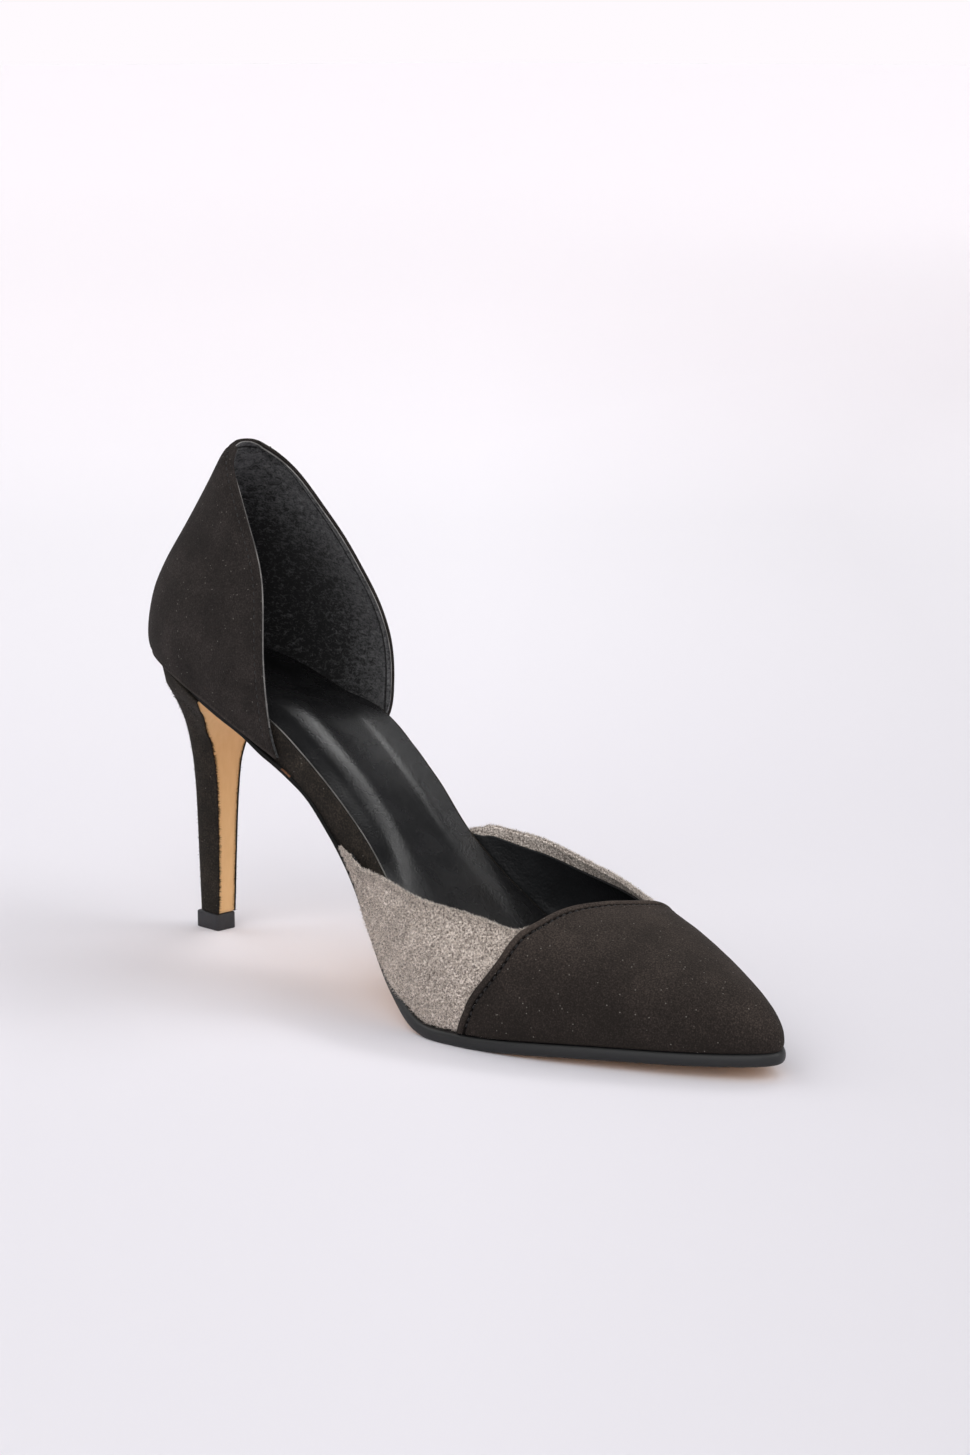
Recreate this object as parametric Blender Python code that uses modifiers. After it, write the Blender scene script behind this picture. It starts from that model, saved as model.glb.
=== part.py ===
"""Pointed two-piece pump with a slim high heel, a left shoe.

Metres in the scene, millimetres in the tables below. The toe points along +X, +Z is up, and
-Y is the inner (arch) side of the foot. Tables are written about the middle of the heel tip.
"""

import bmesh
import bpy
import numpy as np
from mathutils import Vector

# Main sizes, mm.
TOE_X = 216.2
BACK_X = -15.4
TREAD_THICK = 3.5
WAIST_THICK = 2.2
WALL = 1.7
CAP_THICK = 0.9
SOCK_THICK = 1.5
GAP = 0.3
LIP_DEPTH = 1.9
TUCK_DEG = 13.0
ARCH_POWER = 2.35
NOSE_REACH = 16.0
QUARTER_FRONT_X = 52.6

# Outline of the sole seen from above: x, half width on the inner side, half width on the outer side.
OUTLINE = np.array([
    (-15.4, 0.0, 0.0),
    (-9.0, 14.0, 14.0),
    (0.0, 19.2, 19.2),
    (12.0, 23.0, 23.0),
    (30.0, 24.7, 24.7),
    (52.0, 22.7, 23.2),
    (72.0, 21.8, 21.0),
    (84.0, 23.6, 23.2),
    (96.0, 28.0, 28.2),
    (110.0, 33.7, 34.0),
    (128.0, 37.9, 38.4),
    (144.0, 36.2, 37.3),
    (160.0, 32.0, 33.3),
    (177.0, 25.2, 26.2),
    (192.0, 18.4, 18.9),
    (206.0, 10.7, 11.0),
    (216.2, 0.0, 0.0),
])
TIP_FULLNESS = 23.6
BACK_FULLNESS = 45.0

# Feather line, where the upper meets the sole: x, height.
FEATHER = np.array([
    (-15.4, 81.9),
    (-4.0, 79.8),
    (10.0, 76.0),
    (28.0, 70.3),
    (42.0, 65.3),
    (54.0, 59.9),
    (64.0, 54.3),
    (73.0, 47.1),
    (83.0, 36.6),
    (93.0, 26.2),
    (103.0, 16.7),
    (111.0, 10.4),
    (118.0, 6.3),
    (125.0, 3.95),
    (133.0, 3.7),
    (143.0, 3.75),
    (158.0, 4.7),
    (178.0, 5.9),
    (200.0, 6.8),
    (220.0, 8.0),
])

# Height of the crown of the vamp: x, height. Behind the throat it is where the two sides would meet.
CROWN = np.array([
    (70.0, 88.0),
    (90.0, 70.0),
    (108.0, 57.0),
    (124.0, 47.6),
    (138.0, 40.6),
    (152.0, 35.2),
    (165.0, 31.8),
    (178.0, 28.3),
    (192.0, 24.1),
    (205.0, 19.8),
    (220.0, 13.6),
])


def spline(xs, ys):
    """Natural cubic through the rows; straight beyond its ends."""
    xs = np.asarray(xs, float)
    ys = np.asarray(ys, float)
    h = np.diff(xs)
    rise = np.diff(ys) / h
    n = len(xs)
    band = np.eye(n)
    right = np.zeros(n)
    for i in range(1, n - 1):
        band[i, i - 1:i + 2] = h[i - 1], 2 * (h[i - 1] + h[i]), h[i]
        right[i] = 6 * (rise[i] - rise[i - 1])
    bend = np.linalg.solve(band, right)

    def at(x):
        x = np.asarray(x, float)
        i = np.clip(np.searchsorted(xs, x) - 1, 0, n - 2)
        t = np.clip(x, xs[0], xs[-1]) - xs[i]
        slope = rise[i] - h[i] * (2 * bend[i] + bend[i + 1]) / 6
        inside = ys[i] + t * (slope + t * (bend[i] / 2 + t * (bend[i + 1] - bend[i]) / (6 * h[i])))
        first = rise[0] - h[0] * bend[1] / 6
        last = rise[-1] + h[-1] * bend[-2] / 6
        return inside + np.minimum(x - xs[0], 0) * first + np.maximum(x - xs[-1], 0) * last

    return at


def steps(rows):
    """Level at each row, with an easy S between neighbours: for sizes that hold and then change."""
    xs, ys = np.array(rows, float).T

    def at(x):
        x = np.clip(np.asarray(x, float), xs[0], xs[-1])
        i = np.clip(np.searchsorted(xs, x) - 1, 0, len(xs) - 2)
        t = (x - xs[i]) / (xs[i + 1] - xs[i])
        return ys[i] + (ys[i + 1] - ys[i]) * t * t * (3 - 2 * t)

    return at


MID_X = (TOE_X + BACK_X) / 2
HALF_X = (TOE_X - BACK_X) / 2


def turn_of(x):
    """Outline angle of a length: 0 at the toe, pi at the back."""
    return np.arccos(np.clip((np.asarray(x, float) - MID_X) / HALF_X, -1, 1))


def fullness(column):
    """Half width over the sine of the outline angle, which stays smooth round both ends."""
    angle = turn_of(OUTLINE[1:-1, 0])
    share = OUTLINE[1:-1, column] / np.sin(angle)
    return spline(np.r_[0, angle[::-1], np.pi], np.r_[TIP_FULLNESS, share[::-1], BACK_FULLNESS])


INNER_SIDE, OUTER_SIDE = fullness(1), fullness(2)
lip = steps([(84.0, 0.3), (120.0, LIP_DEPTH)])
feather_z = spline(*FEATHER.T)
crown_z = spline(*CROWN.T)


def outline(angle, inset=0.0):
    """Points of the sole's outline, moved in by inset. Negative angles are the inner side."""
    angle = np.asarray(angle, float)

    def point(a):
        a = np.mod(a + np.pi, 2 * np.pi) - np.pi
        side = np.where(a < 0, INNER_SIDE(np.abs(a)), OUTER_SIDE(np.abs(a)))
        return np.stack([MID_X + HALF_X * np.cos(a), np.sin(a) * side], -1)

    ahead = point(angle + 1e-3) - point(angle - 1e-3)
    normal = np.stack([-ahead[..., 1], ahead[..., 0]], -1)
    normal /= np.linalg.norm(normal, axis=-1, keepdims=True)
    return point(angle) + normal * np.asarray(inset, float)[..., None]


def arch(up):
    """Plan and height shares of a vamp section: up is 0 at the feather and 1 on the crown."""
    tuck = np.radians(TUCK_DEG)
    phi = -tuck + np.asarray(up, float) * (np.pi / 2 + tuck)
    high = np.maximum(phi, 0)
    low = np.minimum(phi, 0)
    across = np.where(phi > 0, np.maximum(np.cos(high), 0) ** (2 / ARCH_POWER), np.cos(low))
    rise = np.where(phi > 0, np.sin(high) ** (2 / ARCH_POWER), np.sin(low))
    return across / np.cos(tuck), (rise + np.sin(tuck)) / (1 + np.sin(tuck))


def vamp_point(angle, girth):
    """Outer surface of the vamp. Girth runs from -1 at the inner feather over 0 to 1 at the outer one."""
    angle, girth = np.broadcast_arrays(np.asarray(angle, float), np.asarray(girth, float))
    side = np.where(girth < 0, -1.0, 1.0)
    foot = outline(side * angle, lip(MID_X + HALF_X * np.cos(angle)))
    spine_x = foot[..., 0] - NOSE_REACH * np.exp(-(angle / 0.62) ** 2)
    spine = np.stack([spine_x, np.zeros_like(spine_x)], -1)
    across, rise = arch(1 - np.abs(girth))
    plan = spine + (foot - spine) * across[..., None]
    low = feather_z(foot[..., 0])
    z = low + (crown_z(plan[..., 0]) - low) * rise
    return np.concatenate([plan, z[..., None]], -1)


# Quarter rings from the feather to the top: back x, back z, front x, front z, half width at the front.
RINGS = np.array([
    (-15.4, 82.2, 52.6, 61.2, 22.7),
    (-18.2, 90.0, 50.3, 71.6, 24.6),
    (-16.8, 97.4, 49.6, 81.6, 25.5),
    (-13.4, 105.6, 48.4, 91.0, 24.8),
    (-8.8, 113.8, 46.2, 100.6, 22.6),
    (-3.6, 121.8, 42.6, 110.0, 19.6),
    (1.6, 129.2, 37.6, 118.8, 17.3),
    (6.2, 135.8, 31.6, 127.0, 15.0),
    (9.8, 141.2, 25.2, 135.4, 12.3),
    (12.2, 144.5, 20.4, 140.7, 9.1),
    (13.8, 146.2, 17.2, 144.3, 4.8),
])
ring_at = [spline(np.linspace(0, 1, len(RINGS)), RINGS[:, k]) for k in range(5)]


def quarter_point(lam, up):
    """Outer surface of the quarter. Lam is -1 at the inner front edge, 0 at the back and 1 outside."""
    lam, up = np.broadcast_arrays(np.asarray(lam, float), np.asarray(up, float))
    back_x, back_z, front_x, front_z, half = [f(up) for f in ring_at]
    last = np.radians(104.0)
    turn = np.abs(lam) * last
    run = (1 - np.cos(turn)) / (1 - np.cos(last))
    wide = (np.sin(turn) / np.sin(last)) ** (0.6 + 0.35 * up)
    x = back_x + (front_x - back_x) * run
    around = turn_of(BACK_X + (QUARTER_FRONT_X - BACK_X) * run)
    foot = np.sin(around) * np.where(lam < 0, INNER_SIDE(around), OUTER_SIDE(around))
    blend = np.clip(1 - up / 0.3, 0, 1) ** 2
    y = np.sign(lam) * (half * wide * (1 - blend) + foot * blend)
    level = back_z + (front_z - back_z) * run
    low = feather_z(x)
    return np.stack([x, y, level + (low - level) * blend], -1)


# Rear edge of the vamp, feather to feather round the throat: girth, x.
VAMP_EDGE = np.array([
    (-1.0, 81.5),
    (-0.92, 86.0),
    (-0.79, 95.6),
    (-0.68, 105.1),
    (-0.6, 114.4),
    (-0.515, 125.4),
    (-0.46, 134.8),
    (-0.43, 142.8),
    (-0.395, 148.6),
    (-0.33, 151.0),
    (-0.2, 152.8),
    (0.0, 156.3),
    (0.15, 158.2),
    (0.3, 156.9),
    (0.36, 153.5),
    (0.41, 147.0),
    (0.5, 129.0),
    (0.575, 114.3),
    (0.67, 102.5),
    (0.77, 94.3),
    (0.86, 87.2),
    (1.0, 80.3),
])

# Rear edge of the toe cap: girth, x.
CAP_EDGE = np.array([
    (-1.0, 137.1),
    (-0.9, 139.6),
    (-0.8, 142.7),
    (-0.71, 145.6),
    (-0.59, 147.9),
    (-0.42, 149.2),
    (-0.34, 150.6),
    (-0.2, 152.2),
    (0.0, 155.8),
    (0.15, 157.8),
    (0.3, 156.3),
    (0.55, 151.8),
    (0.8, 145.8),
    (1.0, 140.0),
])

# Heel sections from the seat down: height at x 0, pitch, back x, breast x, half width at the breast.
HEEL = np.array([
    (74.0, -0.24, -11.4, 17.2, 17.2),
    (68.4, -0.16, -10.2, 11.6, 12.4),
    (62.4, -0.08, -9.0, 7.8, 8.6),
    (56.0, 0.0, -8.2, 5.8, 6.3),
    (48.0, 0.0, -7.6, 5.2, 4.9),
    (38.0, 0.0, -7.2, 4.9, 4.1),
    (26.0, 0.0, -6.9, 4.5, 3.7),
    (15.0, 0.0, -6.5, 4.1, 3.5),
    (5.3, 0.0, -6.1, 3.7, 3.4),
])
SEAT_FRONT_X = 22.0
BREAST_THICK = 0.9
TIP_HIGH = 5.0

# Sizes that change along the foot, each as rows of x and mm: thickness, insets and heights of the insole.
tread = steps([(62.0, WAIST_THICK), (112.0, TREAD_THICK)])
sole_inset = steps([(40.0, 0.4), (70.0, 0.5), (100.0, 0.0)])
insole_inset = steps([(-15.4, 2.8), (20.0, 2.5), (50.0, 2.4), (58.0, 0.7), (68.0, 0.7),
                      (79.0, 2.7), (90.0, 2.9), (120.0, 4.3)])
arch_side = steps([(-15.4, 3.0), (10.0, 3.4), (46.0, 8.6), (66.0, 8.6), (88.0, 9.8),
                   (128.0, 3.0), (216.0, 2.4)])
plain_side = steps([(-15.4, 3.0), (50.0, 2.8), (80.0, 2.8), (128.0, 3.0), (216.0, 2.4)])

SUEDE = (0.024, 0.021, 0.020)
LEATHER = (0.035, 0.035, 0.037)
GREY = (0.36, 0.31, 0.28)
TAN = (0.44, 0.24, 0.11)
RUBBER = (0.04, 0.04, 0.042)


def lift(x, y, by):
    """Points raised square to the feather profile by an amount in mm."""
    slope = (feather_z(x + 0.05) - feather_z(x - 0.05)) / 0.1
    size = np.hypot(1, slope)
    return np.stack([x - by * slope / size, y + 0 * by, feather_z(x) + by / size], -1)


def inner_outline(angle, inset):
    """Outline of a layer inside the upper, with its own blunt ends."""
    toe, back = TOE_X - inset(TOE_X) - 1.2, BACK_X + inset(BACK_X)
    x = (toe + back) / 2 + (toe - back) / 2 * np.cos(angle)
    turn = turn_of(x)
    side = np.where(angle < 0, INNER_SIDE(turn), OUTER_SIDE(turn))
    ends = np.tanh(np.abs(angle) / 0.12) * np.tanh((np.pi - np.abs(angle)) / 0.2)
    return x, np.sign(angle) * (np.sin(turn) * side - inset(x)) * ends


def footbed(x, across, ends):
    """Height of the insole over the feather: it climbs to the arch side and has two soft ridges."""
    climb = np.clip((0.25 - across) / 1.25, 0, 1) ** 1.6
    ridges = 1.1 * np.exp(-((across + 0.42) / 0.17) ** 2) + 0.7 * np.exp(-((across - 0.55) / 0.12) ** 2)
    waist = np.exp(-((x - 74.0) / 34.0) ** 2)
    plain = plain_side(x)
    return plain + ((arch_side(x) - plain) * climb + ridges * waist) * ends


def mesh_of(name, verts, faces, colour, rough):
    """A mesh object in metres from points in mm, with doubled points made one."""
    mesh = bpy.data.meshes.new(name)
    mesh.from_pydata((np.asarray(verts, float) * 0.001).tolist(), [], [list(map(int, f)) for f in faces])
    work = bmesh.new()
    work.from_mesh(mesh)
    bmesh.ops.remove_doubles(work, verts=work.verts, dist=2e-5)
    bmesh.ops.dissolve_degenerate(work, edges=work.edges, dist=1e-5)
    work.to_mesh(mesh)
    work.free()
    mesh.validate()
    obj = bpy.data.objects.new(name, mesh)
    paint = bpy.data.materials.new(name)
    paint.use_nodes = True
    shader = paint.node_tree.nodes["Principled BSDF"]
    shader.inputs["Base Color"].default_value = (*colour, 1.0)
    shader.inputs["Roughness"].default_value = rough
    mesh.materials.append(paint)
    shoe.objects.link(obj)
    obj.parent = origin
    return obj


def grid_faces(rows, columns):
    """Quads of a grid whose points are stored row by row."""
    base = np.arange(rows * columns).reshape(rows, columns)
    return np.stack([base[:-1, :-1], base[1:, :-1], base[1:, 1:], base[:-1, 1:]], -1).reshape(-1, 4)


def shell(name, points, wall, colour, rough, outward):
    """A surface made into a wall by Solidify. Outward is a point that the faces must look away from."""
    rows, columns = points.shape[:2]
    flat = points.reshape(-1, 3)
    faces = grid_faces(rows, columns)
    normal = np.cross(flat[faces[:, 2]] - flat[faces[:, 0]], flat[faces[:, 3]] - flat[faces[:, 1]])
    away = flat[faces].mean(1) - np.asarray(outward)
    if np.sum(normal * away) < 0:
        faces = faces[:, ::-1]
    obj = mesh_of(name, flat, faces, colour, rough)
    thick = obj.modifiers.new("wall", "SOLIDIFY")
    thick.thickness = wall * 0.001
    thick.offset = -1.0
    thick.use_even_offset = True
    thick.use_quality_normals = True
    return obj


def loft(name, rings, colour, rough, cap_first=True, cap_last=True):
    """A closed body through rings of equal count, given in order along the part."""
    count, size = rings.shape[:2]
    base = np.arange(count * size).reshape(count, size)
    after = np.roll(base, -1, axis=1)
    faces = np.stack([base[:-1], base[1:], after[1:], after[:-1]], -1).reshape(-1, 4).tolist()
    if cap_first:
        faces.append(base[0].tolist())
    if cap_last:
        faces.append(base[-1][::-1].tolist())
    obj = mesh_of(name, rings.reshape(-1, 3), faces, colour, rough)
    work = bmesh.new()
    work.from_mesh(obj.data)
    bmesh.ops.recalc_face_normals(work, faces=work.faces)
    if work.calc_volume(signed=True) < 0:
        bmesh.ops.reverse_faces(work, faces=work.faces)
    work.to_mesh(obj.data)
    work.free()
    return obj


def along(rows, count):
    """Evenly spaced points of a curve given as girth and x, measured on the vamp in mm."""
    table = np.asarray(rows, float)
    spots = vamp_point(turn_of(table[:, 1]), table[:, 0])
    run = np.r_[0, np.cumsum(np.linalg.norm(np.diff(spots, axis=0), axis=1))]
    want = np.linspace(0, run[-1], count)
    return np.stack([spline(run, table[:, 0])(want), spline(run, table[:, 1])(want)], -1)


def vamp_grid(edge, rows, columns):
    """Angles and girths of the vamp from an edge curve to the nose, where the sides meet in pairs."""
    line = along(edge, columns)
    line[0, 0], line[-1, 0] = -1.0, 1.0
    run = np.linspace(0, 1, rows)[:, None]
    even = np.linspace(-1, 1, columns)
    angle = (1 - run) * turn_of(line[:, 1])
    girth = line[:, 0] + (even - line[:, 0]) * run * run * (3 - 2 * run)
    return angle, girth


def vamp_offset(angle, girth, by):
    """Vamp points moved out square to the surface."""
    step = 1e-3
    near = np.clip(angle, 2 * step, None)
    girth_in = np.clip(girth, -1 + step, 1 - step)
    side = np.where(girth < 0, -1.0, 1.0)
    girth_in = side * np.maximum(np.abs(girth_in), 2 * step)
    along_a = vamp_point(near + step, girth) - vamp_point(near - step, girth)
    along_g = vamp_point(near, girth_in + step) - vamp_point(near, girth_in - step)
    normal = np.cross(along_g, along_a)
    normal[np.abs(girth) < 1e-6, 1] = 0
    normal[angle < 1e-6, 1] = 0
    normal /= np.linalg.norm(normal, axis=-1, keepdims=True)
    out = vamp_point(angle, girth) - np.array([150.0, 0.0, 8.0])
    normal *= np.sign(np.sum(normal * out, axis=-1, keepdims=True))
    normal[np.abs(girth) > 1 - 1e-6, 2] = 0
    normal /= np.linalg.norm(normal, axis=-1, keepdims=True)
    return vamp_point(angle, girth) + normal * by


def u_ring(back, front, half, count, power):
    """Plan of a heel section: a straight breast and a rounded back, starting at the inner breast corner."""
    last = np.radians(112.0)
    turn = np.linspace(-last, last, count)
    run = (1 - np.cos(turn)) / (1 - np.cos(last))
    wide = (np.abs(np.sin(turn)) / np.sin(last)) ** power
    return back + (front - back) * run, np.sign(turn) * half * wide


for old in list(bpy.data.objects):
    bpy.data.objects.remove(old, do_unlink=True)
shoe = bpy.data.collections.new("pump")
bpy.context.scene.collection.children.link(shoe)
origin = bpy.data.objects.new("pump_origin", None)
shoe.objects.link(origin)

# Vamp: a hollow front half, open at the throat and underneath.
angle, girth = vamp_grid(VAMP_EDGE, 20, 33)
shell("vamp", vamp_point(angle, girth), WALL, GREY, 0.95, (150.0, 0.0, 8.0))

# Toe cap: an overlay from the vamp's own surface, standing proud of it.
angle, girth = vamp_grid(CAP_EDGE, 13, 29)
shell("toe_cap", vamp_offset(angle, girth, GAP + CAP_THICK), CAP_THICK, SUEDE, 0.95, (150.0, 0.0, 8.0))

# Quarter: a hollow heel cup, open in front, at the top and underneath.
lam = np.linspace(-1, 1, 27)
up = np.linspace(0, 1, 17)
cup = quarter_point(lam[None, :], up[:, None])
shell("quarter", cup, WALL, SUEDE, 0.95, (18.0, 0.0, 95.0))

# Insole board: a shaped layer from heel to toe, climbing to the arch side at the waist.
turns = np.linspace(0, np.pi, 46)
across = np.linspace(-1, 1, 9)
ends = np.minimum(1, np.minimum(turns / 0.5, (np.pi - turns) / 0.4))[:, None]


def layer(inset, under, over):
    """Rings of a layer of the footbed, between two heights over its own shape."""
    near_x, near_y = inner_outline(-turns, inset)
    far_x, far_y = inner_outline(turns, inset)
    share = (across + 1) / 2
    x = near_x[:, None] + (far_x - near_x)[:, None] * share
    y = near_y[:, None] + (far_y - near_y)[:, None] * share
    bed = footbed(x, across[None, :], ends)
    top = lift(x, y, bed + over)
    low = lift(x, y, np.zeros_like(bed)) if under is None else lift(x, y, bed + under)
    return np.concatenate([top, low[:, ::-1]], axis=1)


loft("insole_board", layer(insole_inset, None, 0.0), SUEDE, 0.9, False, False)


def sock_inset(x):
    """The sock stops a little short of the insole's edge."""
    return insole_inset(x) + 0.3


loft("sock", layer(sock_inset, GAP, GAP + SOCK_THICK), LEATHER, 0.4, False, False)

# Outsole: thick and round edged at the tread, thin at the waist, flat where it stands.
turns = np.linspace(0, turn_of(SEAT_FRONT_X + GAP), 44)


def sole_edge(angle, inset, depth):
    """One line along the edge of the outsole, at a share of its thickness."""
    x = MID_X + HALF_X * np.cos(angle)
    plan = outline(angle, sole_inset(x) + inset * tread(x) / TREAD_THICK)
    spot = lift(plan[:, 0], plan[:, 1], -GAP - depth * tread(plan[:, 0]))
    spot[:, 2] = np.maximum(spot[:, 2], 0.0)
    return spot


profile = [(1.4, 0.0), (0.25, 0.16), (0.0, 0.5), (0.3, 0.84), (1.3, 1.0)]
near = [sole_edge(-turns, inset, depth) for inset, depth in profile]
far = [sole_edge(turns, inset, depth) for inset, depth in profile[::-1]]
loft("outsole", np.stack(near + far, axis=1), RUBBER, 0.5, False, True)

# Heel block, its breast cover and the top piece that it stands on.
seat_end = turn_of(SEAT_FRONT_X - BREAST_THICK - GAP)
seat = outline(np.pi + np.linspace(1, -1, 25) * (np.pi - seat_end), 1.7)
rings = [lift(seat[:, 0], seat[:, 1], np.full(25, -GAP))]
heel_rows = np.linspace(0, 1, len(HEEL))
heel_at = [spline(heel_rows, HEEL[:, k]) for k in range(5)]
for share in np.linspace(0, 1, 17):
    high, pitch, back, front, half = [float(f(share)) for f in heel_at]
    ring_x, ring_y = u_ring(back, front - BREAST_THICK - GAP, half, 25, 0.72)
    rings.append(np.stack([ring_x, ring_y, high + pitch * ring_x], -1))
loft("heel_block", np.array(rings), SUEDE, 0.95)

rings = []
for share in np.linspace(0, 1, 19):
    high, pitch, back, front, half = [float(f(max(0.0, (share * 18 - 1) / 17))) for f in heel_at]
    x = np.array([front - BREAST_THICK, front, front, front - BREAST_THICK])
    y = np.array([-1, -1, 1, 1]) * (half - 0.15)
    z = high + pitch * x
    if share == 0:
        x = x - front + SEAT_FRONT_X
        y = np.array([-1, -1, 1, 1]) * 22.6
        z = lift(x, y, np.full(4, -GAP))[:, 2]
    rings.append(np.stack([x, y, z], -1))
loft("breast_cover", np.array(rings), TAN, 0.5)

tip = mesh_of("top_piece", np.zeros((0, 3)), [], RUBBER, 0.5)
work = bmesh.new()
bmesh.ops.create_cube(work, size=1.0)
tip_size = (HEEL[-1, 3] - HEEL[-1, 2], 2 * HEEL[-1, 4] + 0.2, TIP_HIGH)
bmesh.ops.scale(work, vec=Vector(tip_size) * 0.001, verts=work.verts)
work.to_mesh(tip.data)
work.free()
tip.location = Vector(((HEEL[-1, 3] + HEEL[-1, 2]) / 2, 0.0, TIP_HIGH / 2)) * 0.001
edge = tip.modifiers.new("edge", "BEVEL")
edge.width = 0.0005
edge.segments = 2

# The origin sits under the middle of the whole shoe.
bpy.context.view_layer.update()
graph = bpy.context.evaluated_depsgraph_get()
corners = []
for piece in shoe.objects:
    if piece.type == "MESH":
        made = piece.evaluated_get(graph)
        corners += [made.matrix_world @ Vector(corner) for corner in made.bound_box]
low = [min(corner[k] for corner in corners) for k in range(3)]
high = [max(corner[k] for corner in corners) for k in range(3)]
origin.location = (-(low[0] + high[0]) / 2, -(low[1] + high[1]) / 2, -low[2])
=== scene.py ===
"""Looks of a pointed two-piece pump with a slim high heel, a left shoe.

Each sub-assembly is a class. Its pieces are surfaces of two parameters, worked out as whole arrays in
millimetres about the middle of the heel tip, with the toe along +X, the inner side of the foot at -Y
and +Z up. They are moved into the frame, in metres, when their meshes are made.
"""

import logging
import math
from collections.abc import Callable, Sequence
from dataclasses import dataclass
from enum import Enum
from functools import cached_property

import bpy
import numpy as np
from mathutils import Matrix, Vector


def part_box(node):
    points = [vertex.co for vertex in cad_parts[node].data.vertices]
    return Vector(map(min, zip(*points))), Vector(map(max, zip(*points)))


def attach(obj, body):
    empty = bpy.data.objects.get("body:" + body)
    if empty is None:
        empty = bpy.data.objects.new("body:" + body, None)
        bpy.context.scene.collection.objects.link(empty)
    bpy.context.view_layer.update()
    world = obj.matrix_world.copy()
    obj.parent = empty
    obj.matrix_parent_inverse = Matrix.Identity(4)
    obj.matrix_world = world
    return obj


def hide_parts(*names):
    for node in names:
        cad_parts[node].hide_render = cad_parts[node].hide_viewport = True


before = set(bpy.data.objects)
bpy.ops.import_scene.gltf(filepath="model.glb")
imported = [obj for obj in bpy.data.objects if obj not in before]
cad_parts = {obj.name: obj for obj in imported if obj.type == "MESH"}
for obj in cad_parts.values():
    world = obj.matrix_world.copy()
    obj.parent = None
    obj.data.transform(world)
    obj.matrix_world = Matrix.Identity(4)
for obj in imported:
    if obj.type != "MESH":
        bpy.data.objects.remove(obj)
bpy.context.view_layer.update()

Array = np.ndarray
Curve = Callable[[Array], Array]
Rows = tuple[tuple[float, ...], ...]
Pair = tuple[float, float]
Triple = tuple[float, float, float]
Material = bpy.types.Material

log = logging.getLogger("pump")
MM = 0.001
BODY = "root"
# Points that are closer than this are one point.
WELD_MM = 0.002
# Step of a grid beside a seam.
FINE_MM = 0.16
# Width and height of the photograph.
PHOTO_PX = (970, 1455)


class Side(Enum):
    """Sides of the foot, with the sign of their Y."""

    INNER = -1
    OUTER = 1


def linear(colour: str) -> tuple[float, float, float, float]:
    """Turn an sRGB hex colour into linear red, green, blue and alpha.

    Args:
        colour: six hex digits after a hash sign.

    Returns:
        The linear colour, with alpha 1.
    """
    parts = [int(colour[i:i + 2], 16) / 255 for i in (1, 3, 5)]
    return (*(p / 12.92 if p <= 0.04045 else ((p + 0.055) / 1.055) ** 2.4 for p in parts), 1.0)


def spline(xs: Array, ys: Array) -> Curve:
    """Make a natural cubic through rows of x and y, straight beyond its ends.

    Args:
        xs: places, rising.
        ys: values at those places.

    Returns:
        A function from places to values.
    """
    xs, ys = np.asarray(xs, float), np.asarray(ys, float)
    h = np.diff(xs)
    rise = np.diff(ys) / h
    n = len(xs)
    band = np.eye(n)
    inner = np.arange(1, n - 1)
    band[inner, inner - 1] = h[:-1]
    band[inner, inner] = 2 * (h[:-1] + h[1:])
    band[inner, inner + 1] = h[1:]
    bend = np.linalg.solve(band, np.r_[0, 6 * np.diff(rise), 0])

    def at(x: Array) -> Array:
        """Value of the cubic at each place.

        Args:
            x: places.

        Returns:
            One value for each place.
        """
        x = np.asarray(x, float)
        i = np.clip(np.searchsorted(xs, x) - 1, 0, n - 2)
        t = np.clip(x, xs[0], xs[-1]) - xs[i]
        slope = rise[i] - h[i] * (2 * bend[i] + bend[i + 1]) / 6
        inside = ys[i] + t * (slope + t * (bend[i] / 2 + t * (bend[i + 1] - bend[i]) / (6 * h[i])))
        first = rise[0] - h[0] * bend[1] / 6
        last = rise[-1] + h[-1] * bend[-2] / 6
        return inside + np.minimum(x - xs[0], 0) * first + np.maximum(x - xs[-1], 0) * last

    return at


def steps(*rows: Pair) -> Curve:
    """Make a curve that is level at each row, with an easy S between neighbours.

    Args:
        rows: pairs of place and value.

    Returns:
        A function from places to values.
    """
    xs, ys = np.array(rows, float).T

    def at(x: Array) -> Array:
        """Value of the curve at each place: three squares less two cubes of the way between rows.

        Args:
            x: places.

        Returns:
            One value for each place.
        """
        x = np.clip(np.asarray(x, float), xs[0], xs[-1])
        i = np.clip(np.searchsorted(xs, x) - 1, 0, len(xs) - 2)
        t = (x - xs[i]) / (xs[i + 1] - xs[i])
        return ys[i] + (ys[i + 1] - ys[i]) * t * t * (3 - 2 * t)

    return at


def unit(vectors: Array) -> Array:
    """Scale vectors to length one."""
    return vectors / np.maximum(np.linalg.norm(vectors, axis=-1, keepdims=True), 1e-12)


def ramp(values: Array, start: float, end: float) -> Array:
    """Share that goes straight from 0 at a start to 1 at an end, level beyond both."""
    return np.clip((values - start) / (end - start), 0, 1)


def bells(distance: Array, rows: Rows) -> Array:
    """Sum of rounded ridges and troughs beside a line: height times exp of minus a squared share of width.

    Args:
        distance: distance from the line in mm.
        rows: distance from the line, width and height of each, in mm.

    Returns:
        The height at each distance.
    """
    return sum(high * np.exp(-((distance - at) / wide) ** 2) for at, wide, high in rows)


def between(rows: Array, index: Array) -> Array:
    """Rows of numbers at fractional indices, straight between neighbours."""
    return np.stack([np.interp(index, np.arange(len(rows)), column) for column in rows.T], -1)


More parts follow.
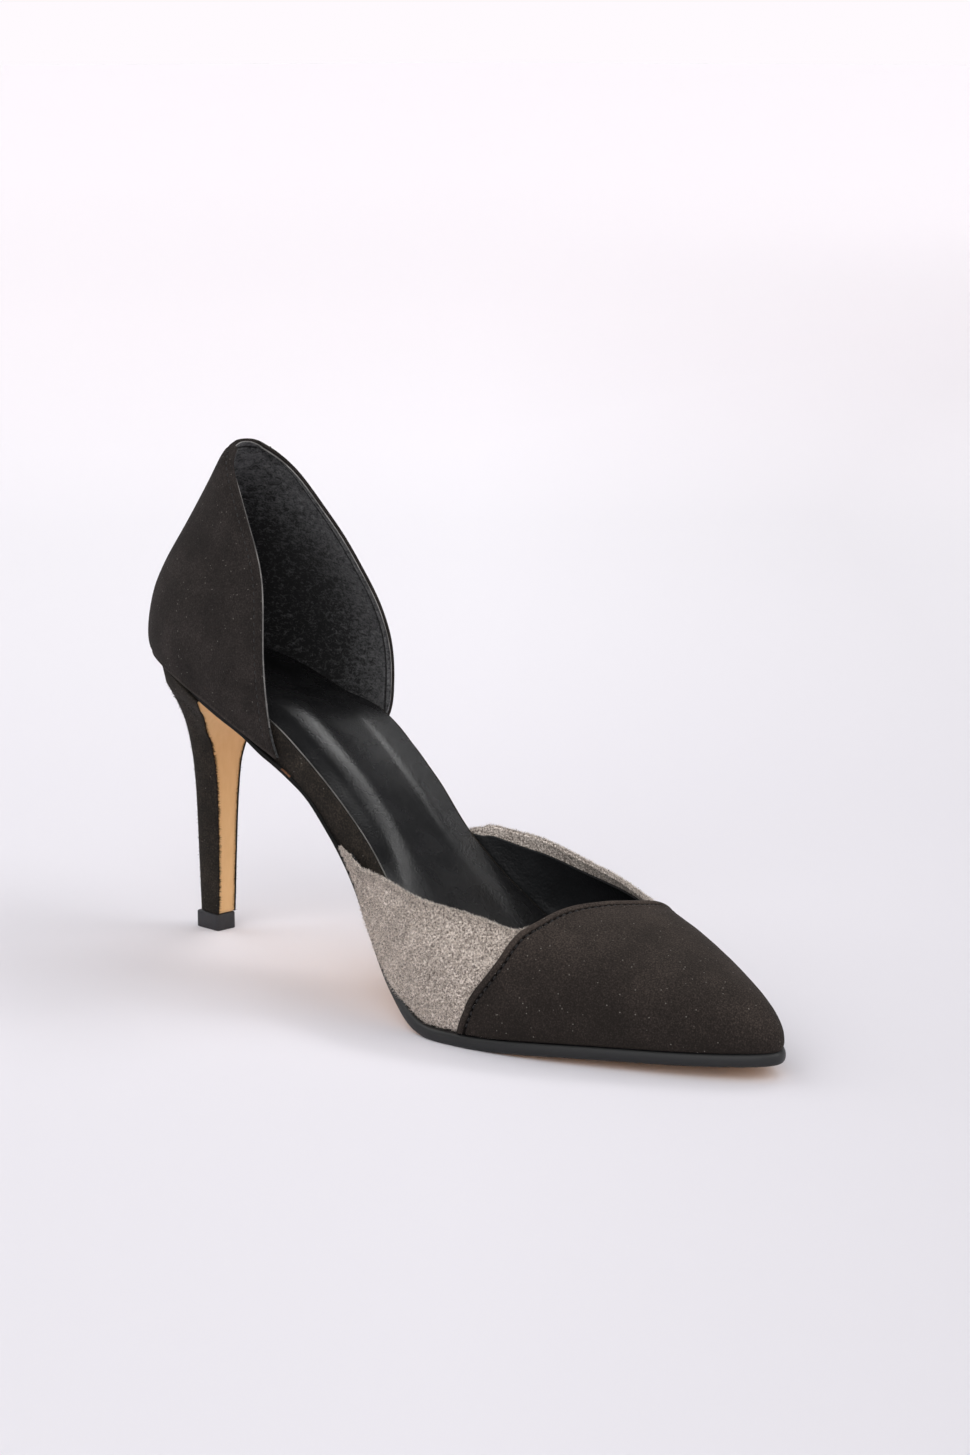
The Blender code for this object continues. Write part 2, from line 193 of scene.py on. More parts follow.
def soft_noise(points: Array, size: float, seed: int) -> Array:
    """Soft random field from -1 to 1: hashed values on a lattice, eased between its corners.

    Args:
        points: places in mm, with the three coordinates last.
        size: lattice step in mm.
        seed: which field.

    Returns:
        One value per place.
    """
    cell = np.floor(points / size).astype(np.int64)
    t = points / size - cell
    t = t * t * (3 - 2 * t)
    total = np.zeros(points.shape[:-1])
    for corner in np.ndindex(2, 2, 2):
        weight = np.prod(np.where(np.array(corner, bool), t, 1 - t), axis=-1)
        key = (cell + corner) @ np.array([73856093, 19349663, 83492791]) + seed * 40503
        key = ((key ^ (key >> 13)) * 1274126177) & 0x7FFFFFFF
        total += weight * (((key ^ (key >> 15)) & 0xFFFF) / 32767.5 - 1)
    return total


def rough(points: Array, rows: Rows) -> Array:
    """Sum of soft random fields: rows of height and lattice step in mm, and seed."""
    return sum(high * soft_noise(points, size, int(seed)) for high, size, seed in rows)


def line_distance(points: Array, line: Array) -> Array:
    """Distance of each point from the nearest of a line's closely spaced points.

    Args:
        points: places in mm, with the three coordinates last.
        line: points of the line in mm.

    Returns:
        One distance in mm per place.
    """
    flat = np.array_split(points.reshape(-1, 3), 64)
    near = [np.sqrt(((part[:, None] - line[None]) ** 2).sum(-1)).min(1) for part in flat]
    return np.concatenate(near).reshape(points.shape[:-1])


def even(line: Array, pitch: float) -> tuple[Array, int]:
    """Places along a line of points that are a pitch apart.

    Args:
        line: points of the line, in mm.
        pitch: wanted spacing, in mm.

    Returns:
        Fractional indices into the line, and their count.
    """
    run = np.r_[0, np.cumsum(np.linalg.norm(np.diff(line, axis=0), axis=1))]
    count = max(2, int(run[-1] / pitch))
    return np.interp((np.arange(count) + 0.5) * run[-1] / count, run, np.arange(len(line))), count


def graded(count: int, length: float, radius: float, fine: float = 0.0) -> Array:
    """Shares from 0 to 1 with extra ones close to both ends, for a rounded edge and a seam beside it.

    Args:
        count: number of even steps.
        length: length in mm that the shares stand for.
        radius: radius of the edge in mm.
        fine: width in mm of a band with fine steps at both ends.

    Returns:
        The shares, rising.
    """
    on_edge = np.array([0.06, 0.25, 0.6, 1.0]) * radius
    close = np.r_[on_edge, np.arange(radius, fine, FINE_MM)] / length
    middle = np.linspace(0, 1, count)
    middle = middle[(np.minimum(middle, 1 - middle) * length > fine) | (middle == 0) | (middle == 1)]
    return np.unique(np.r_[middle, close, 1 - close])


def rounding(points: Array, radius: float) -> Array:
    """Share of full thickness near the borders of a grid: a quarter circle of a radius in mm.

    Args:
        points: grid of points in mm.
        radius: radius of the edge in mm.

    Returns:
        A grid of shares from 0 on the border to 1 inside.
    """
    share = np.ones(points.shape[:2])
    for axis in (0, 1):
        step = np.linalg.norm(np.diff(points, axis=axis), axis=-1)
        run = np.insert(np.cumsum(step, axis=axis), 0, 0, axis=axis)
        whole = np.take(run, [-1], axis=axis)
        depth = np.clip(1 - np.minimum(run, whole - run) / radius, 0, 1)
        share = np.minimum(share, np.sqrt(1 - depth ** 2))
    return share


@dataclass
class Surface:
    """Points in mm, faces and what a material needs to know about each point."""

    points: Array
    faces: Array
    values: dict[str, Array]
    paint: Array | None = None

    @staticmethod
    def grid(rows: int, columns: int, wrap: bool = False) -> Array:
        """Quads of a grid of points that are stored row by row.

        Args:
            rows: number of rows.
            columns: number of columns.
            wrap: whether the last column joins the first.

        Returns:
            Four point numbers for each quad.
        """
        base = np.arange(rows * columns).reshape(rows, columns)
        if wrap:
            base = np.concatenate([base, base[:, :1]], axis=1)
        return np.stack([base[:-1, :-1], base[1:, :-1], base[1:, 1:], base[:-1, 1:]], -1).reshape(-1, 4)

    @classmethod
    def shell(cls, outer: Array, inner: Array, **values: Array) -> "Surface":
        """Close two grids whose borders coincide into one body, facing away from each other.

        Args:
            outer: outer grid of points in mm.
            inner: inner grid, equal to the outer one along its borders.
            values: named numbers for each point of the grid.

        Returns:
            The body.
        """
        rows, columns = outer.shape[:2]
        faces = cls.grid(rows, columns)
        flat = outer.reshape(-1, 3)
        normal = np.cross(flat[faces[:, 2]] - flat[faces[:, 0]], flat[faces[:, 3]] - flat[faces[:, 1]])
        if np.sum(normal * (outer - inner).reshape(-1, 3)[faces].mean(1)) < 0:
            faces = faces[:, ::-1]
        inner_faces = faces[:, ::-1] + rows * columns
        numbers = {name: np.tile(v.ravel(), 2) for name, v in values.items()}
        points = np.concatenate([flat, inner.reshape(-1, 3)])
        return cls(points, np.concatenate([faces, inner_faces]), numbers)

    @classmethod
    def loft(cls, rings: Array, **values: Array) -> "Surface":
        """Close rings of equal count into one body, with a point in the middle of each end.

        Args:
            rings: rings of points in mm, in order along the piece.
            values: named numbers for each point of the rings.

        Returns:
            The body, facing outwards.
        """
        ends = [np.repeat(ring.mean(0)[None], rings.shape[1], axis=0) for ring in (rings[0], rings[-1])]
        whole = np.concatenate([ends[0][None], rings, ends[1][None]])
        rows, columns = whole.shape[:2]
        faces = cls.grid(rows, columns, wrap=True)
        flat = whole.reshape(-1, 3)
        corners = flat[faces]
        volume = np.sum(np.cross(corners[:, 0], corners[:, 1]) * corners[:, 2])
        volume += np.sum(np.cross(corners[:, 0], corners[:, 2]) * corners[:, 3])
        if volume < 0:
            faces = faces[:, ::-1]
        numbers = {name: np.concatenate([v[:1], v, v[-1:]]).ravel() for name, v in values.items()}
        return cls(flat, faces, numbers)

    @classmethod
    def join(cls, parts: Sequence["Surface"]) -> "Surface":
        """Put bodies together as one.

        Args:
            parts: bodies with the same named numbers.

        Returns:
            The joined body.
        """
        starts = np.cumsum([0] + [len(p.points) for p in parts[:-1]])
        points = np.concatenate([p.points for p in parts])
        faces = np.concatenate([p.faces + s for p, s in zip(parts, starts)])
        values = {key: np.concatenate([p.values[key] for p in parts]) for key in parts[0].values}
        return cls(points, faces, values)

    def welded(self) -> tuple[Array, list[list[int]], Array, Array]:
        """Make points that coincide one, and drop what collapses.

        Returns:
            Points, faces of three or four corners, the first point behind each new one, and kept faces.
        """
        key = np.round(self.points / WELD_MM).astype(np.int64)
        _, first, index = np.unique(key, axis=0, return_index=True, return_inverse=True)
        faces = index.reshape(-1)[self.faces]
        same = faces == np.roll(faces, -1, axis=1)
        crossed = (faces[:, 0] == faces[:, 2]) | (faces[:, 1] == faces[:, 3])
        kept = np.flatnonzero((same.sum(1) < 2) & ~crossed)
        corners = np.where(same[kept], -1, faces[kept]).tolist()
        return self.points[first], [[c for c in face if c >= 0] for face in corners], first, kept


class Shop:
    """Turns surfaces into pieces of the shoe that ride on its body."""

    def __init__(self) -> None:
        """Find where the heel tip's middle lies in the frame, in mm."""
        low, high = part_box("top_piece")
        middle = np.array([(low.x + high.x) / 2, (low.y + high.y) / 2, low.z])
        self.shift = middle / MM + (Heel.tip_mid, 0, 0)

    def place(self, points: Array) -> Array:
        """Move points in mm into the frame, in metres."""
        return (points + self.shift) * MM

    def piece(self, name: str, surface: Surface, paints: Sequence[Material], slot: str,
              *nodes: str) -> bpy.types.Object:
        """Make a piece, dress it and let it stand for nodes of the frame.

        Args:
            name: name of the piece.
            surface: its body.
            paints: its materials, in the order of the surface's paint numbers.
            slot: name of a material slot; not used.
            nodes: nodes that it replaces.

        Returns:
            The new object.
        """
        points, faces, first, kept = surface.welded()
        mesh = bpy.data.meshes.new(name)
        mesh.from_pydata(self.place(points).tolist(), [], faces)
        mesh.polygons.foreach_set("use_smooth", np.ones(len(faces), bool))
        for key, numbers in surface.values.items():
            layer = mesh.attributes.new(key, "FLOAT", "POINT")
            layer.data.foreach_set("value", numbers[first].astype(np.float32))
        for paint in paints:
            mesh.materials.append(paint)
        if surface.paint is not None:
            mesh.polygons.foreach_set("material_index", surface.paint[kept].astype(np.int32))
        mesh.update()
        made = bpy.data.objects.new(name, mesh)
        bpy.context.scene.collection.objects.link(made)
        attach(made, BODY)
        if nodes:
            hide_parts(*nodes)
        log.info("%s: %d points, %d faces", name, len(points), len(faces))
        return made


def add(tree: bpy.types.NodeTree, kind: str, settings: dict[str | int, object] | None = None,
        **links: bpy.types.Node | bpy.types.NodeSocket) -> bpy.types.Node:
    """Add a node with its settings and links.

    Args:
        tree: the node tree.
        kind: the node's type after the words ShaderNode.
        settings: values by socket name or number, or by property name where no socket has it; stops
            are the places and hex colours of a colour ramp.
        links: sockets that feed inputs, or nodes that feed them from their first output, by input
            name with _ for a space, or by input number after a _.

    Returns:
        The new node.
    """
    made = tree.nodes.new("ShaderNode" + kind)
    for name, value in (settings or {}).items():
        if name == "stops":
            points = made.color_ramp.elements
            for _ in value[2:]:
                points.new(0.5)
            for point, (place, colour) in zip(points, value):
                point.position, point.color = place, linear(colour)
        elif isinstance(name, int) or name in made.inputs:
            made.inputs[name].default_value = value
        else:
            setattr(made, name, value)
    for name, source in links.items():
        key = int(name[1:]) if name[0] == "_" else name.replace("_", " ")
        socket = source.outputs[0] if isinstance(source, bpy.types.Node) else source
        tree.links.new(socket, made.inputs[key])
    return made


def blank(name: str) -> tuple[Material, bpy.types.NodeTree, bpy.types.NodeSocket]:
    """Start a material with an empty node tree.

    Args:
        name: name of the material.

    Returns:
        The material, its tree and the socket of Object coordinates.
    """
    made = bpy.data.materials.new(name)
    made.use_nodes = True
    tree = made.node_tree
    tree.nodes.clear()
    return made, tree, add(tree, "TexCoord").outputs["Object"]


def per_mm(size: float) -> float:
    """Noise scale for a feature of a size in mm, on Object coordinates in metres."""
    return 1.0 / (size * MM)


def seam_shade(tree: bpy.types.NodeTree, colour: bpy.types.Node, seam_mm: float, lip: str) -> bpy.types.Node:
    """Shade a turned edge by the distance from it: a pressed lip painted paler as a highlight, then painted
    shadow in the seam's hollow.

    Args:
        tree: the material's node tree.
        colour: the plain colour.
        seam_mm: distance of the seam from the edge.
        lip: how pale the painted highlight on the lip is, as a grey; #bcbcbc leaves the colour as it is.

    Returns:
        The shaded colour.
    """
    reach = 2 * seam_mm
    plain, corner, hollow = "#bcbcbc", "#8c8c8c", "#4a4a4a"
    # Distance from the edge in mm, and the grey there: darker corner, painted highlight on the lip, painted
    # shadow in the hollow.
    greys = ((0.1, corner), (0.6, lip), (seam_mm - 0.55, lip), (seam_mm - 0.2, hollow),
             (seam_mm + 0.2, hollow), (seam_mm + 0.6, plain))
    edge = add(tree, "Attribute", {"attribute_name": "edge_mm"}).outputs["Fac"]
    share = add(tree, "MapRange", {"From Max": reach}, Value=edge)
    shade = add(tree, "ValToRGB", {"stops": tuple((mm / reach, grey) for mm, grey in greys)}, Fac=share)
    double = add(tree, "VectorMath", {"operation": "SCALE", "Scale": 2.0}, _0=shade)
    return add(tree, "VectorMath", {"operation": "MULTIPLY"}, _0=colour, _1=double)


@dataclass(frozen=True)
class Suede:
    """Brushed split leather: matt, with a nap that lies in patches and catches light at its tips."""

    name: str
    dark: str
    mid: str
    light: str
    nap_mm: float
    patch_mm: float
    patch: float
    depth_mm: float
    sheen: float
    specks: float = 0.0
    speck_colour: str = "#b8b2aa"
    # Dust lies about this far apart. Its specks are drawn two or three times as large as real ones, to show.
    speck_gap_mm: float = 2.2
    # A seam this far from the edge, with a painted highlight on its lip and painted shadow in its hollow; lip
    # is how pale that highlight is.
    seam_mm: float = 0.0
    lip: str = "#bcbcbc"

    def material(self) -> Material:
        """Build the material: patches and nap set the colour, and nap the bump.

        Returns:
            The material.
        """
        made, tree, where = blank(self.name)
        nap = add(tree, "TexNoise", {"Scale": per_mm(self.nap_mm), "Detail": 2.0, "Roughness": 0.6},
                  Vector=where)
        patch = add(tree, "TexNoise", {"Scale": per_mm(self.patch_mm), "Detail": 3.0, "Roughness": 0.55},
                    Vector=where)
        slow = add(tree, "Math", {"operation": "MULTIPLY", 1: self.patch}, _0=patch)
        both = add(tree, "Math", {"operation": "MULTIPLY_ADD", 1: 1 - self.patch}, _0=nap, _2=slow)
        # The tone attribute: random paler or darker fibres, and painted light and shade on the toe cap and
        # along the cup's lower edge.
        own = add(tree, "Attribute", {"attribute_name": "tone"}).outputs["Fac"]
        toned = add(tree, "Math", {"operation": "ADD"}, _0=both, _1=own)
        stops = ((0.36, self.dark), (0.5, self.mid), (0.64, self.light))
        colour = add(tree, "ValToRGB", {"stops": stops}, Fac=toned)
        if self.specks:
            dust = add(tree, "TexVoronoi", {"Scale": per_mm(self.speck_gap_mm)}, Vector=where)
            speck = {"From Min": 0.1, "From Max": 0.05, "To Max": self.specks}
            spot = add(tree, "MapRange", speck, Value=dust)
            colour = add(tree, "MixRGB", {"Color2": linear(self.speck_colour)}, Fac=spot, Color1=colour)
        if self.seam_mm:
            colour = seam_shade(tree, colour, self.seam_mm, self.lip)
        bump = add(tree, "Bump", {"Strength": 0.9, "Distance": self.depth_mm * MM}, Height=nap)
        constants = {"Roughness": 0.95, "Specular IOR Level": 0.15, "Sheen Weight": self.sheen,
                     "Sheen Roughness": 0.5, "Sheen Tint": linear(self.light)}
        shader = add(tree, "BsdfPrincipled", constants, Base_Color=colour, Normal=bump)
        add(tree, "OutputMaterial", Surface=shader)
        return made


@dataclass(frozen=True)
class Grain:
    """Finished leather: a fine pebble of rounded cells, with pores and a soft wax gloss."""

    name: str
    dark: str
    light: str
    cell_mm: float
    depth_mm: float
    rough: float
    specular: float
    # How much deeper the pebble is along the outer border.
    border: float = 0.0
    cloud_mm: float = 9.0

    def material(self) -> Material:
        """Build the material: cells set the bump, and a slow noise the colour and gloss.

        Returns:
            The material.
        """
        made, tree, where = blank(self.name)
        cells = add(tree, "TexVoronoi", {"feature": "SMOOTH_F1", "Scale": per_mm(self.cell_mm),
                                         "Smoothness": 0.35}, Vector=where)
        fine = add(tree, "TexNoise", {"Scale": per_mm(self.cell_mm / 2), "Detail": 3.0}, Vector=where)
        slow = add(tree, "TexNoise", {"Scale": per_mm(self.cloud_mm), "Detail": 3.0}, Vector=where)
        height = add(tree, "Math", {"operation": "MULTIPLY_ADD", 1: -0.8}, _0=cells, _2=fine)
        across = add(tree, "Attribute", {"attribute_name": "across"}).outputs["Fac"]
        more = add(tree, "MapRange", {"From Min": 0.45, "From Max": 0.75, "To Min": 1.0,
                                      "To Max": 1 + self.border}, Value=across)
        height = add(tree, "Math", {"operation": "MULTIPLY"}, _0=height, _1=more)
        tone = add(tree, "ValToRGB", {"stops": ((0.35, self.dark), (0.65, self.light))}, Fac=slow)
        gloss = add(tree, "MapRange", {"To Min": self.rough - 0.06, "To Max": self.rough + 0.08}, Value=slow)
        bump = add(tree, "Bump", {"Strength": 0.8, "Distance": self.depth_mm * MM}, Height=height)
        constants = {"IOR": 1.5, "Specular IOR Level": self.specular}
        shader = add(tree, "BsdfPrincipled", constants, Base_Color=tone, Roughness=gloss, Normal=bump)
        add(tree, "OutputMaterial", Surface=shader)
        return made


@dataclass(frozen=True)
class Brushed:
    """Brushed microfibre lining: dull, with pale wisps of fibre that were combed one way."""

    name: str
    dark: str
    light: str
    wisp_mm: float
    # Seam beside the topline, with a painted highlight on its lip and painted shadow in its hollow.
    seam_mm: float
    lip: str
    fibre_mm: float = 0.5
    depth_mm: float = 0.12

    def material(self) -> Material:
        """Build the material: stretched noise makes the wisps, fine noise the fibre bump.

        Returns:
            The material.
        """
        made, tree, where = blank(self.name)
        combed = add(tree, "Mapping", {"Scale": (0.5, 0.5, 1.0), "Rotation": (0.0, 0.7, 0.3)}, Vector=where)
        wisps = add(tree, "TexNoise", {"Scale": per_mm(self.wisp_mm), "Detail": 5.0, "Roughness": 0.62,
                                       "Distortion": 1.2}, Vector=combed)
        fibre = add(tree, "TexNoise", {"Scale": per_mm(self.fibre_mm), "Detail": 2.0}, Vector=where)
        most = add(tree, "Math", {"operation": "MULTIPLY", 1: 0.7}, _0=wisps)
        both = add(tree, "Math", {"operation": "MULTIPLY_ADD", 1: 0.3}, _0=fibre, _2=most)
        # The tone attribute darkens the lining down in the cup: painted shade.
        own = add(tree, "Attribute", {"attribute_name": "tone"}).outputs["Fac"]
        nap_and_painted_shade = add(tree, "Math", {"operation": "ADD"}, _0=both, _1=own)
        tone = add(tree, "ValToRGB", {"stops": ((0.36, self.dark), (0.68, self.light))}, Fac=nap_and_painted_shade)
        bump = add(tree, "Bump", {"Strength": 0.6, "Distance": self.depth_mm * MM}, Height=both)
        shaded = seam_shade(tree, tone, self.seam_mm, self.lip)
        constants = {"Roughness": 0.8, "Specular IOR Level": 0.3, "Sheen Weight": 0.15}
        shader = add(tree, "BsdfPrincipled", constants, Base_Color=shaded, Normal=bump)
        add(tree, "OutputMaterial", Surface=shader)
        return made


@dataclass(frozen=True)
class Painted:
    """A thin painted or moulded skin, nearly smooth, with faint streaks left by the brush or the mould."""

    name: str
    dark: str
    light: str
    rough: float
    streak: Triple
    depth_mm: float
    specular: float = 0.5
    streak_mm: float = 1.5

    def material(self) -> Material:
        """Build the material: stretched noise for streaks in colour, gloss and bump.

        Returns:
            The material.
        """
        made, tree, where = blank(self.name)
        drawn = add(tree, "Mapping", {"Scale": self.streak}, Vector=where)
        streaks = add(tree, "TexNoise", {"Scale": per_mm(self.streak_mm), "Detail": 4.0}, Vector=drawn)
        tone = add(tree, "ValToRGB", {"stops": ((0.3, self.dark), (0.7, self.light))}, Fac=streaks)
        gloss = add(tree, "MapRange", {"To Min": self.rough - 0.05, "To Max": self.rough + 0.08},
                    Value=streaks)
        bump = add(tree, "Bump", {"Strength": 0.5, "Distance": self.depth_mm * MM}, Height=streaks)
        constants = {"IOR": 1.5, "Specular IOR Level": self.specular}
        shader = add(tree, "BsdfPrincipled", constants, Base_Color=tone, Roughness=gloss, Normal=bump)
        add(tree, "OutputMaterial", Surface=shader)
        return made


@dataclass(frozen=True)
class Last:
    """The form that the shoe is made on: outline, feather line, crown and heel cup, in mm."""

    toe_x: float = 216.2
    back_x: float = -15.4
    tuck_deg: float = 13.0
    arch_power: float = 2.35
    nose_reach: float = 16.0
    nose_round: float = 0.62
    quarter_front_x: float = 52.6
    tip_fullness: float = 23.6
    back_fullness: float = 45.0
    # Outline from above: x, half width on the inner side, half width on the outer side.
    outline_rows: Rows = (
        (-9.0, 14.0, 14.0), (0.0, 19.2, 19.2), (12.0, 23.0, 23.0), (30.0, 24.7, 24.7),
        (52.0, 22.7, 23.2), (72.0, 21.8, 21.0), (84.0, 23.6, 23.2), (96.0, 28.0, 28.2),
        (110.0, 33.7, 34.0), (128.0, 37.9, 38.4), (144.0, 36.2, 37.3), (160.0, 32.0, 33.3),
        (177.0, 25.2, 26.2), (192.0, 18.4, 18.9), (206.0, 10.7, 11.0))
    # Feather line, where the upper meets the sole: x, height.
    feather_rows: Rows = (
        (-15.4, 81.9), (-4.0, 79.8), (10.0, 76.0), (28.0, 70.3), (42.0, 65.3), (54.0, 59.9), (64.0, 54.3),
        (73.0, 47.1), (83.0, 36.6), (93.0, 26.2), (103.0, 16.7), (111.0, 10.4), (118.0, 6.3), (125.0, 3.95),
        (133.0, 3.7), (143.0, 3.75), (158.0, 4.7), (178.0, 5.9), (200.0, 6.8), (220.0, 8.0))
    # Crown of the vamp: x, height.
    crown_rows: Rows = (
        (70.0, 88.0), (90.0, 70.0), (108.0, 57.0), (124.0, 47.6), (138.0, 40.6), (152.0, 35.2), (165.0, 31.8),
        (178.0, 28.3), (192.0, 24.1), (205.0, 19.8), (220.0, 13.6))
    # Rings of the heel cup, feather to top: back x, back z, front x, front z, half width at the front.
    cup_rows: Rows = (
        (-15.4, 82.2, 52.6, 61.2, 22.7), (-18.2, 90.0, 50.3, 71.6, 24.6), (-16.8, 97.4, 49.6, 81.6, 25.5),
        (-13.4, 105.6, 48.4, 91.0, 24.8), (-8.8, 113.8, 46.2, 100.6, 22.6), (-3.6, 121.8, 42.6, 110.0, 19.6),
        (1.6, 129.2, 37.6, 118.8, 17.3), (6.2, 135.8, 31.6, 127.0, 15.0), (9.8, 141.2, 25.2, 135.4, 12.3),
        (12.2, 144.5, 20.4, 140.7, 9.1), (13.8, 146.2, 17.2, 144.3, 4.8))
    cup_turn_deg: float = 104.0
    # Shares of the cup's height: where its lower edge lies, and where it leaves the outline.
    cup_low: float = 0.03
    cup_foot: float = 0.3
    # Power of the cup's rings at the feather, and how much it grows to the top.
    cup_round: Pair = (0.6, 0.35)
    # Points inside the vamp and inside the cup, from which outward normals point away.
    vamp_inside: Triple = (150.0, 0.0, 8.0)
    cup_inside: Triple = (22.0, 0.0, 98.0)
    # How far the upper stands in from the edge of the sole, over x.
    lip: Curve = steps((84.0, 0.3), (120.0, 1.9))
    # How far the cup's lower edge stands over the feather line, over x, with a groove under it.
    seat: Curve = steps((-15.4, 2.3), (-3.0, 2.5), (8.0, 2.9), (20.0, 2.8), (51.0, 0.0))

    @property
    def mid_x(self) -> float:
        """Middle of the outline's length."""
        return (self.toe_x + self.back_x) / 2

    @property
    def half_x(self) -> float:
        """Half of the outline's length."""
        return (self.toe_x - self.back_x) / 2

    @cached_property
    def feather(self) -> Curve:
        """Height of the feather line over x."""
        return spline(*np.array(self.feather_rows).T)

    @cached_property
    def crown(self) -> Curve:
        """Height of the vamp's crown over x."""
        return spline(*np.array(self.crown_rows).T)

    @cached_property
    def sides(self) -> tuple[Curve, Curve]:
        """Half width over the sine of the outline angle, inner and outer, smooth round both ends."""
        rows = np.array(self.outline_rows)
        angle = self.turn(rows[:, 0])
        places = np.r_[0, angle[::-1], np.pi]
        inner, outer = [
            spline(places, np.r_[self.tip_fullness, (rows[:, k] / np.sin(angle))[::-1], self.back_fullness])
            for k in (1, 2)]
        return inner, outer

    @cached_property
    def cup(self) -> list[Curve]:
        """Columns of the heel cup's rings over the share of height."""
        rows = np.array(self.cup_rows)
        return [spline(np.linspace(0, 1, len(rows)), rows[:, k]) for k in range(rows.shape[1])]

    def turn(self, x: Array) -> Array:
        """Outline angle of a length: 0 at the toe, pi at the back."""
        return np.arccos(np.clip((np.asarray(x, float) - self.mid_x) / self.half_x, -1, 1))

    def length(self, angle: Array) -> Array:
        """Length x of an outline angle."""
        return self.mid_x + self.half_x * np.cos(angle)

    def half_width(self, angle: Array) -> Array:
        """Signed half width at an outline angle, which is negative on the inner side."""
        size = np.abs(angle)
        return np.sin(angle) * np.where(angle < 0, self.sides[0](size), self.sides[1](size))

    def outline(self, angle: Array, inset: Array | float = 0.0) -> Array:
        """Points of the sole's outline, moved in square to it.

        Args:
            angle: outline angles, negative on the inner side.
            inset: distance in mm.

        Returns:
            Points with x and y last.
        """
        def point(a: Array) -> Array:
            """Point of the outline at each angle."""
            a = np.mod(a + np.pi, 2 * np.pi) - np.pi
            return np.stack([self.length(a), self.half_width(a)], -1)

        angle = np.asarray(angle, float)
        ahead = point(angle + 1e-3) - point(angle - 1e-3)
        normal = unit(np.stack([-ahead[..., 1], ahead[..., 0]], -1))
        return point(angle) + normal * np.asarray(inset, float)[..., None]

    def arch(self, up: Array) -> tuple[Array, Array]:
        """Shape of a vamp section: a superellipse that tucks in at its foot.

        Args:
            up: 0 at the feather, 1 on the crown.

        Returns:
            Share of the half width, and share of the height.
        """
        tuck = np.radians(self.tuck_deg)
        phi = -tuck + up * (np.pi / 2 + tuck)
        high, low = np.maximum(phi, 0), np.minimum(phi, 0)
        power = 2 / self.arch_power
        across = np.where(phi > 0, np.maximum(np.cos(high), 0) ** power, np.cos(low))
        rise = np.where(phi > 0, np.sin(high) ** power, np.sin(low))
        return across / np.cos(tuck), (rise + np.sin(tuck)) / (1 + np.sin(tuck))

    def vamp_skin(self, angle: Array, girth: Array) -> Array:
        """Outer skin of the vamp: sections from the outline up to the spine of the crown.

        Args:
            angle: outline angles from 0 at the toe.
            girth: -1 at the inner feather, 0 on the crown, 1 at the outer feather.

        Returns:
            Points with three coordinates last.
        """
        side = np.where(girth < 0, -1.0, 1.0)
        foot = self.outline(side * angle, self.lip(self.length(angle)))
        spine_x = foot[..., 0] - self.nose_reach * np.exp(-(angle / self.nose_round) ** 2)
        spine = np.stack([spine_x, np.zeros_like(spine_x)], -1)
        across, rise = self.arch(1 - np.abs(girth))
        plan = spine + (foot - spine) * across[..., None]
        low = self.feather(foot[..., 0])
        z = low + (self.crown(plan[..., 0]) - low) * rise
        return np.concatenate([plan, z[..., None]], -1)

    def vamp_normal(self, angle: Array, girth: Array) -> Array:
        """Outward normals of the vamp's skin, level at the feather and upright along the nose line.

        Args:
            angle: outline angles from 0 at the toe.
            girth: -1 at the inner feather, 0 on the crown, 1 at the outer feather.

        Returns:
            Unit vectors with three coordinates last.
        """
        step = 1e-3
        near = np.clip(angle, 2 * step, None)
        side = np.where(girth < 0, -1.0, 1.0)
        inside = side * np.clip(np.abs(girth), 2 * step, 1 - step)
        normal = np.cross(self.vamp_skin(near, inside + step) - self.vamp_skin(near, inside - step),
                          self.vamp_skin(near + step, girth) - self.vamp_skin(near - step, girth))
        at_nose = angle < 1e-6
        normal[..., 1] = np.where((np.abs(girth) < 1e-6) | at_nose, 0, normal[..., 1])
        nose = np.zeros_like(angle)
        along = self.vamp_skin(nose, inside + step) - self.vamp_skin(nose, inside - step)
        upright = np.stack([along[..., 2], nose, -along[..., 0]], -1)
        normal = np.where(at_nose[..., None], upright, normal)
        away = self.vamp_skin(angle, girth) - np.array(self.vamp_inside)
        normal = unit(normal) * np.sign(np.sum(normal * away, axis=-1, keepdims=True))
        normal[..., 2] = np.where(np.abs(girth) > 1 - 1e-6, 0, normal[..., 2])
        return unit(normal)

    def vamp(self, angle: Array, girth: Array, raised: Array | float = 0.0) -> Array:
        """Points of the vamp, raised square to its skin.

        Args:
            angle: outline angles from 0 at the toe.
            girth: -1 at the inner feather, 0 on the crown, 1 at the outer feather.
            raised: height over the skin in mm.

        Returns:
            Points with three coordinates last.
        """
        angle, girth = np.broadcast_arrays(np.asarray(angle, float), np.asarray(girth, float))
        lift = np.asarray(raised, float)[..., None]
        return self.vamp_skin(angle, girth) + self.vamp_normal(angle, girth) * lift

    def cup_skin(self, lam: Array, up: Array) -> Array:
        """Outer skin of the heel cup: U rings that stand on the outline and close towards the top.

        Args:
            lam: -1 at the inner front edge, 0 at the back, 1 at the outer front edge.
            up: 0 at the feather, 1 at the top.

        Returns:
            Points with three coordinates last.
        """
        back_x, back_z, front_x, front_z, half = [f(up) for f in self.cup]
        last = np.radians(self.cup_turn_deg)
        turn = np.abs(lam) * last
        run = (1 - np.cos(turn)) / (1 - np.cos(last))
        power, growth = self.cup_round
        wide = (np.sin(turn) / np.sin(last)) ** (power + growth * up)
        x = back_x + (front_x - back_x) * run
        around = self.turn(self.back_x + (self.quarter_front_x - self.back_x) * run)
        foot = np.abs(self.half_width(np.where(lam < 0, -around, around)))
        blend = np.clip(1 - up / self.cup_foot, 0, 1) ** 2
        y = np.sign(lam) * (half * wide * (1 - blend) + foot * blend)
        level = back_z + (front_z - back_z) * run
        return np.stack([x, y, level + (self.feather(x) + self.seat(x) - level) * blend], -1)

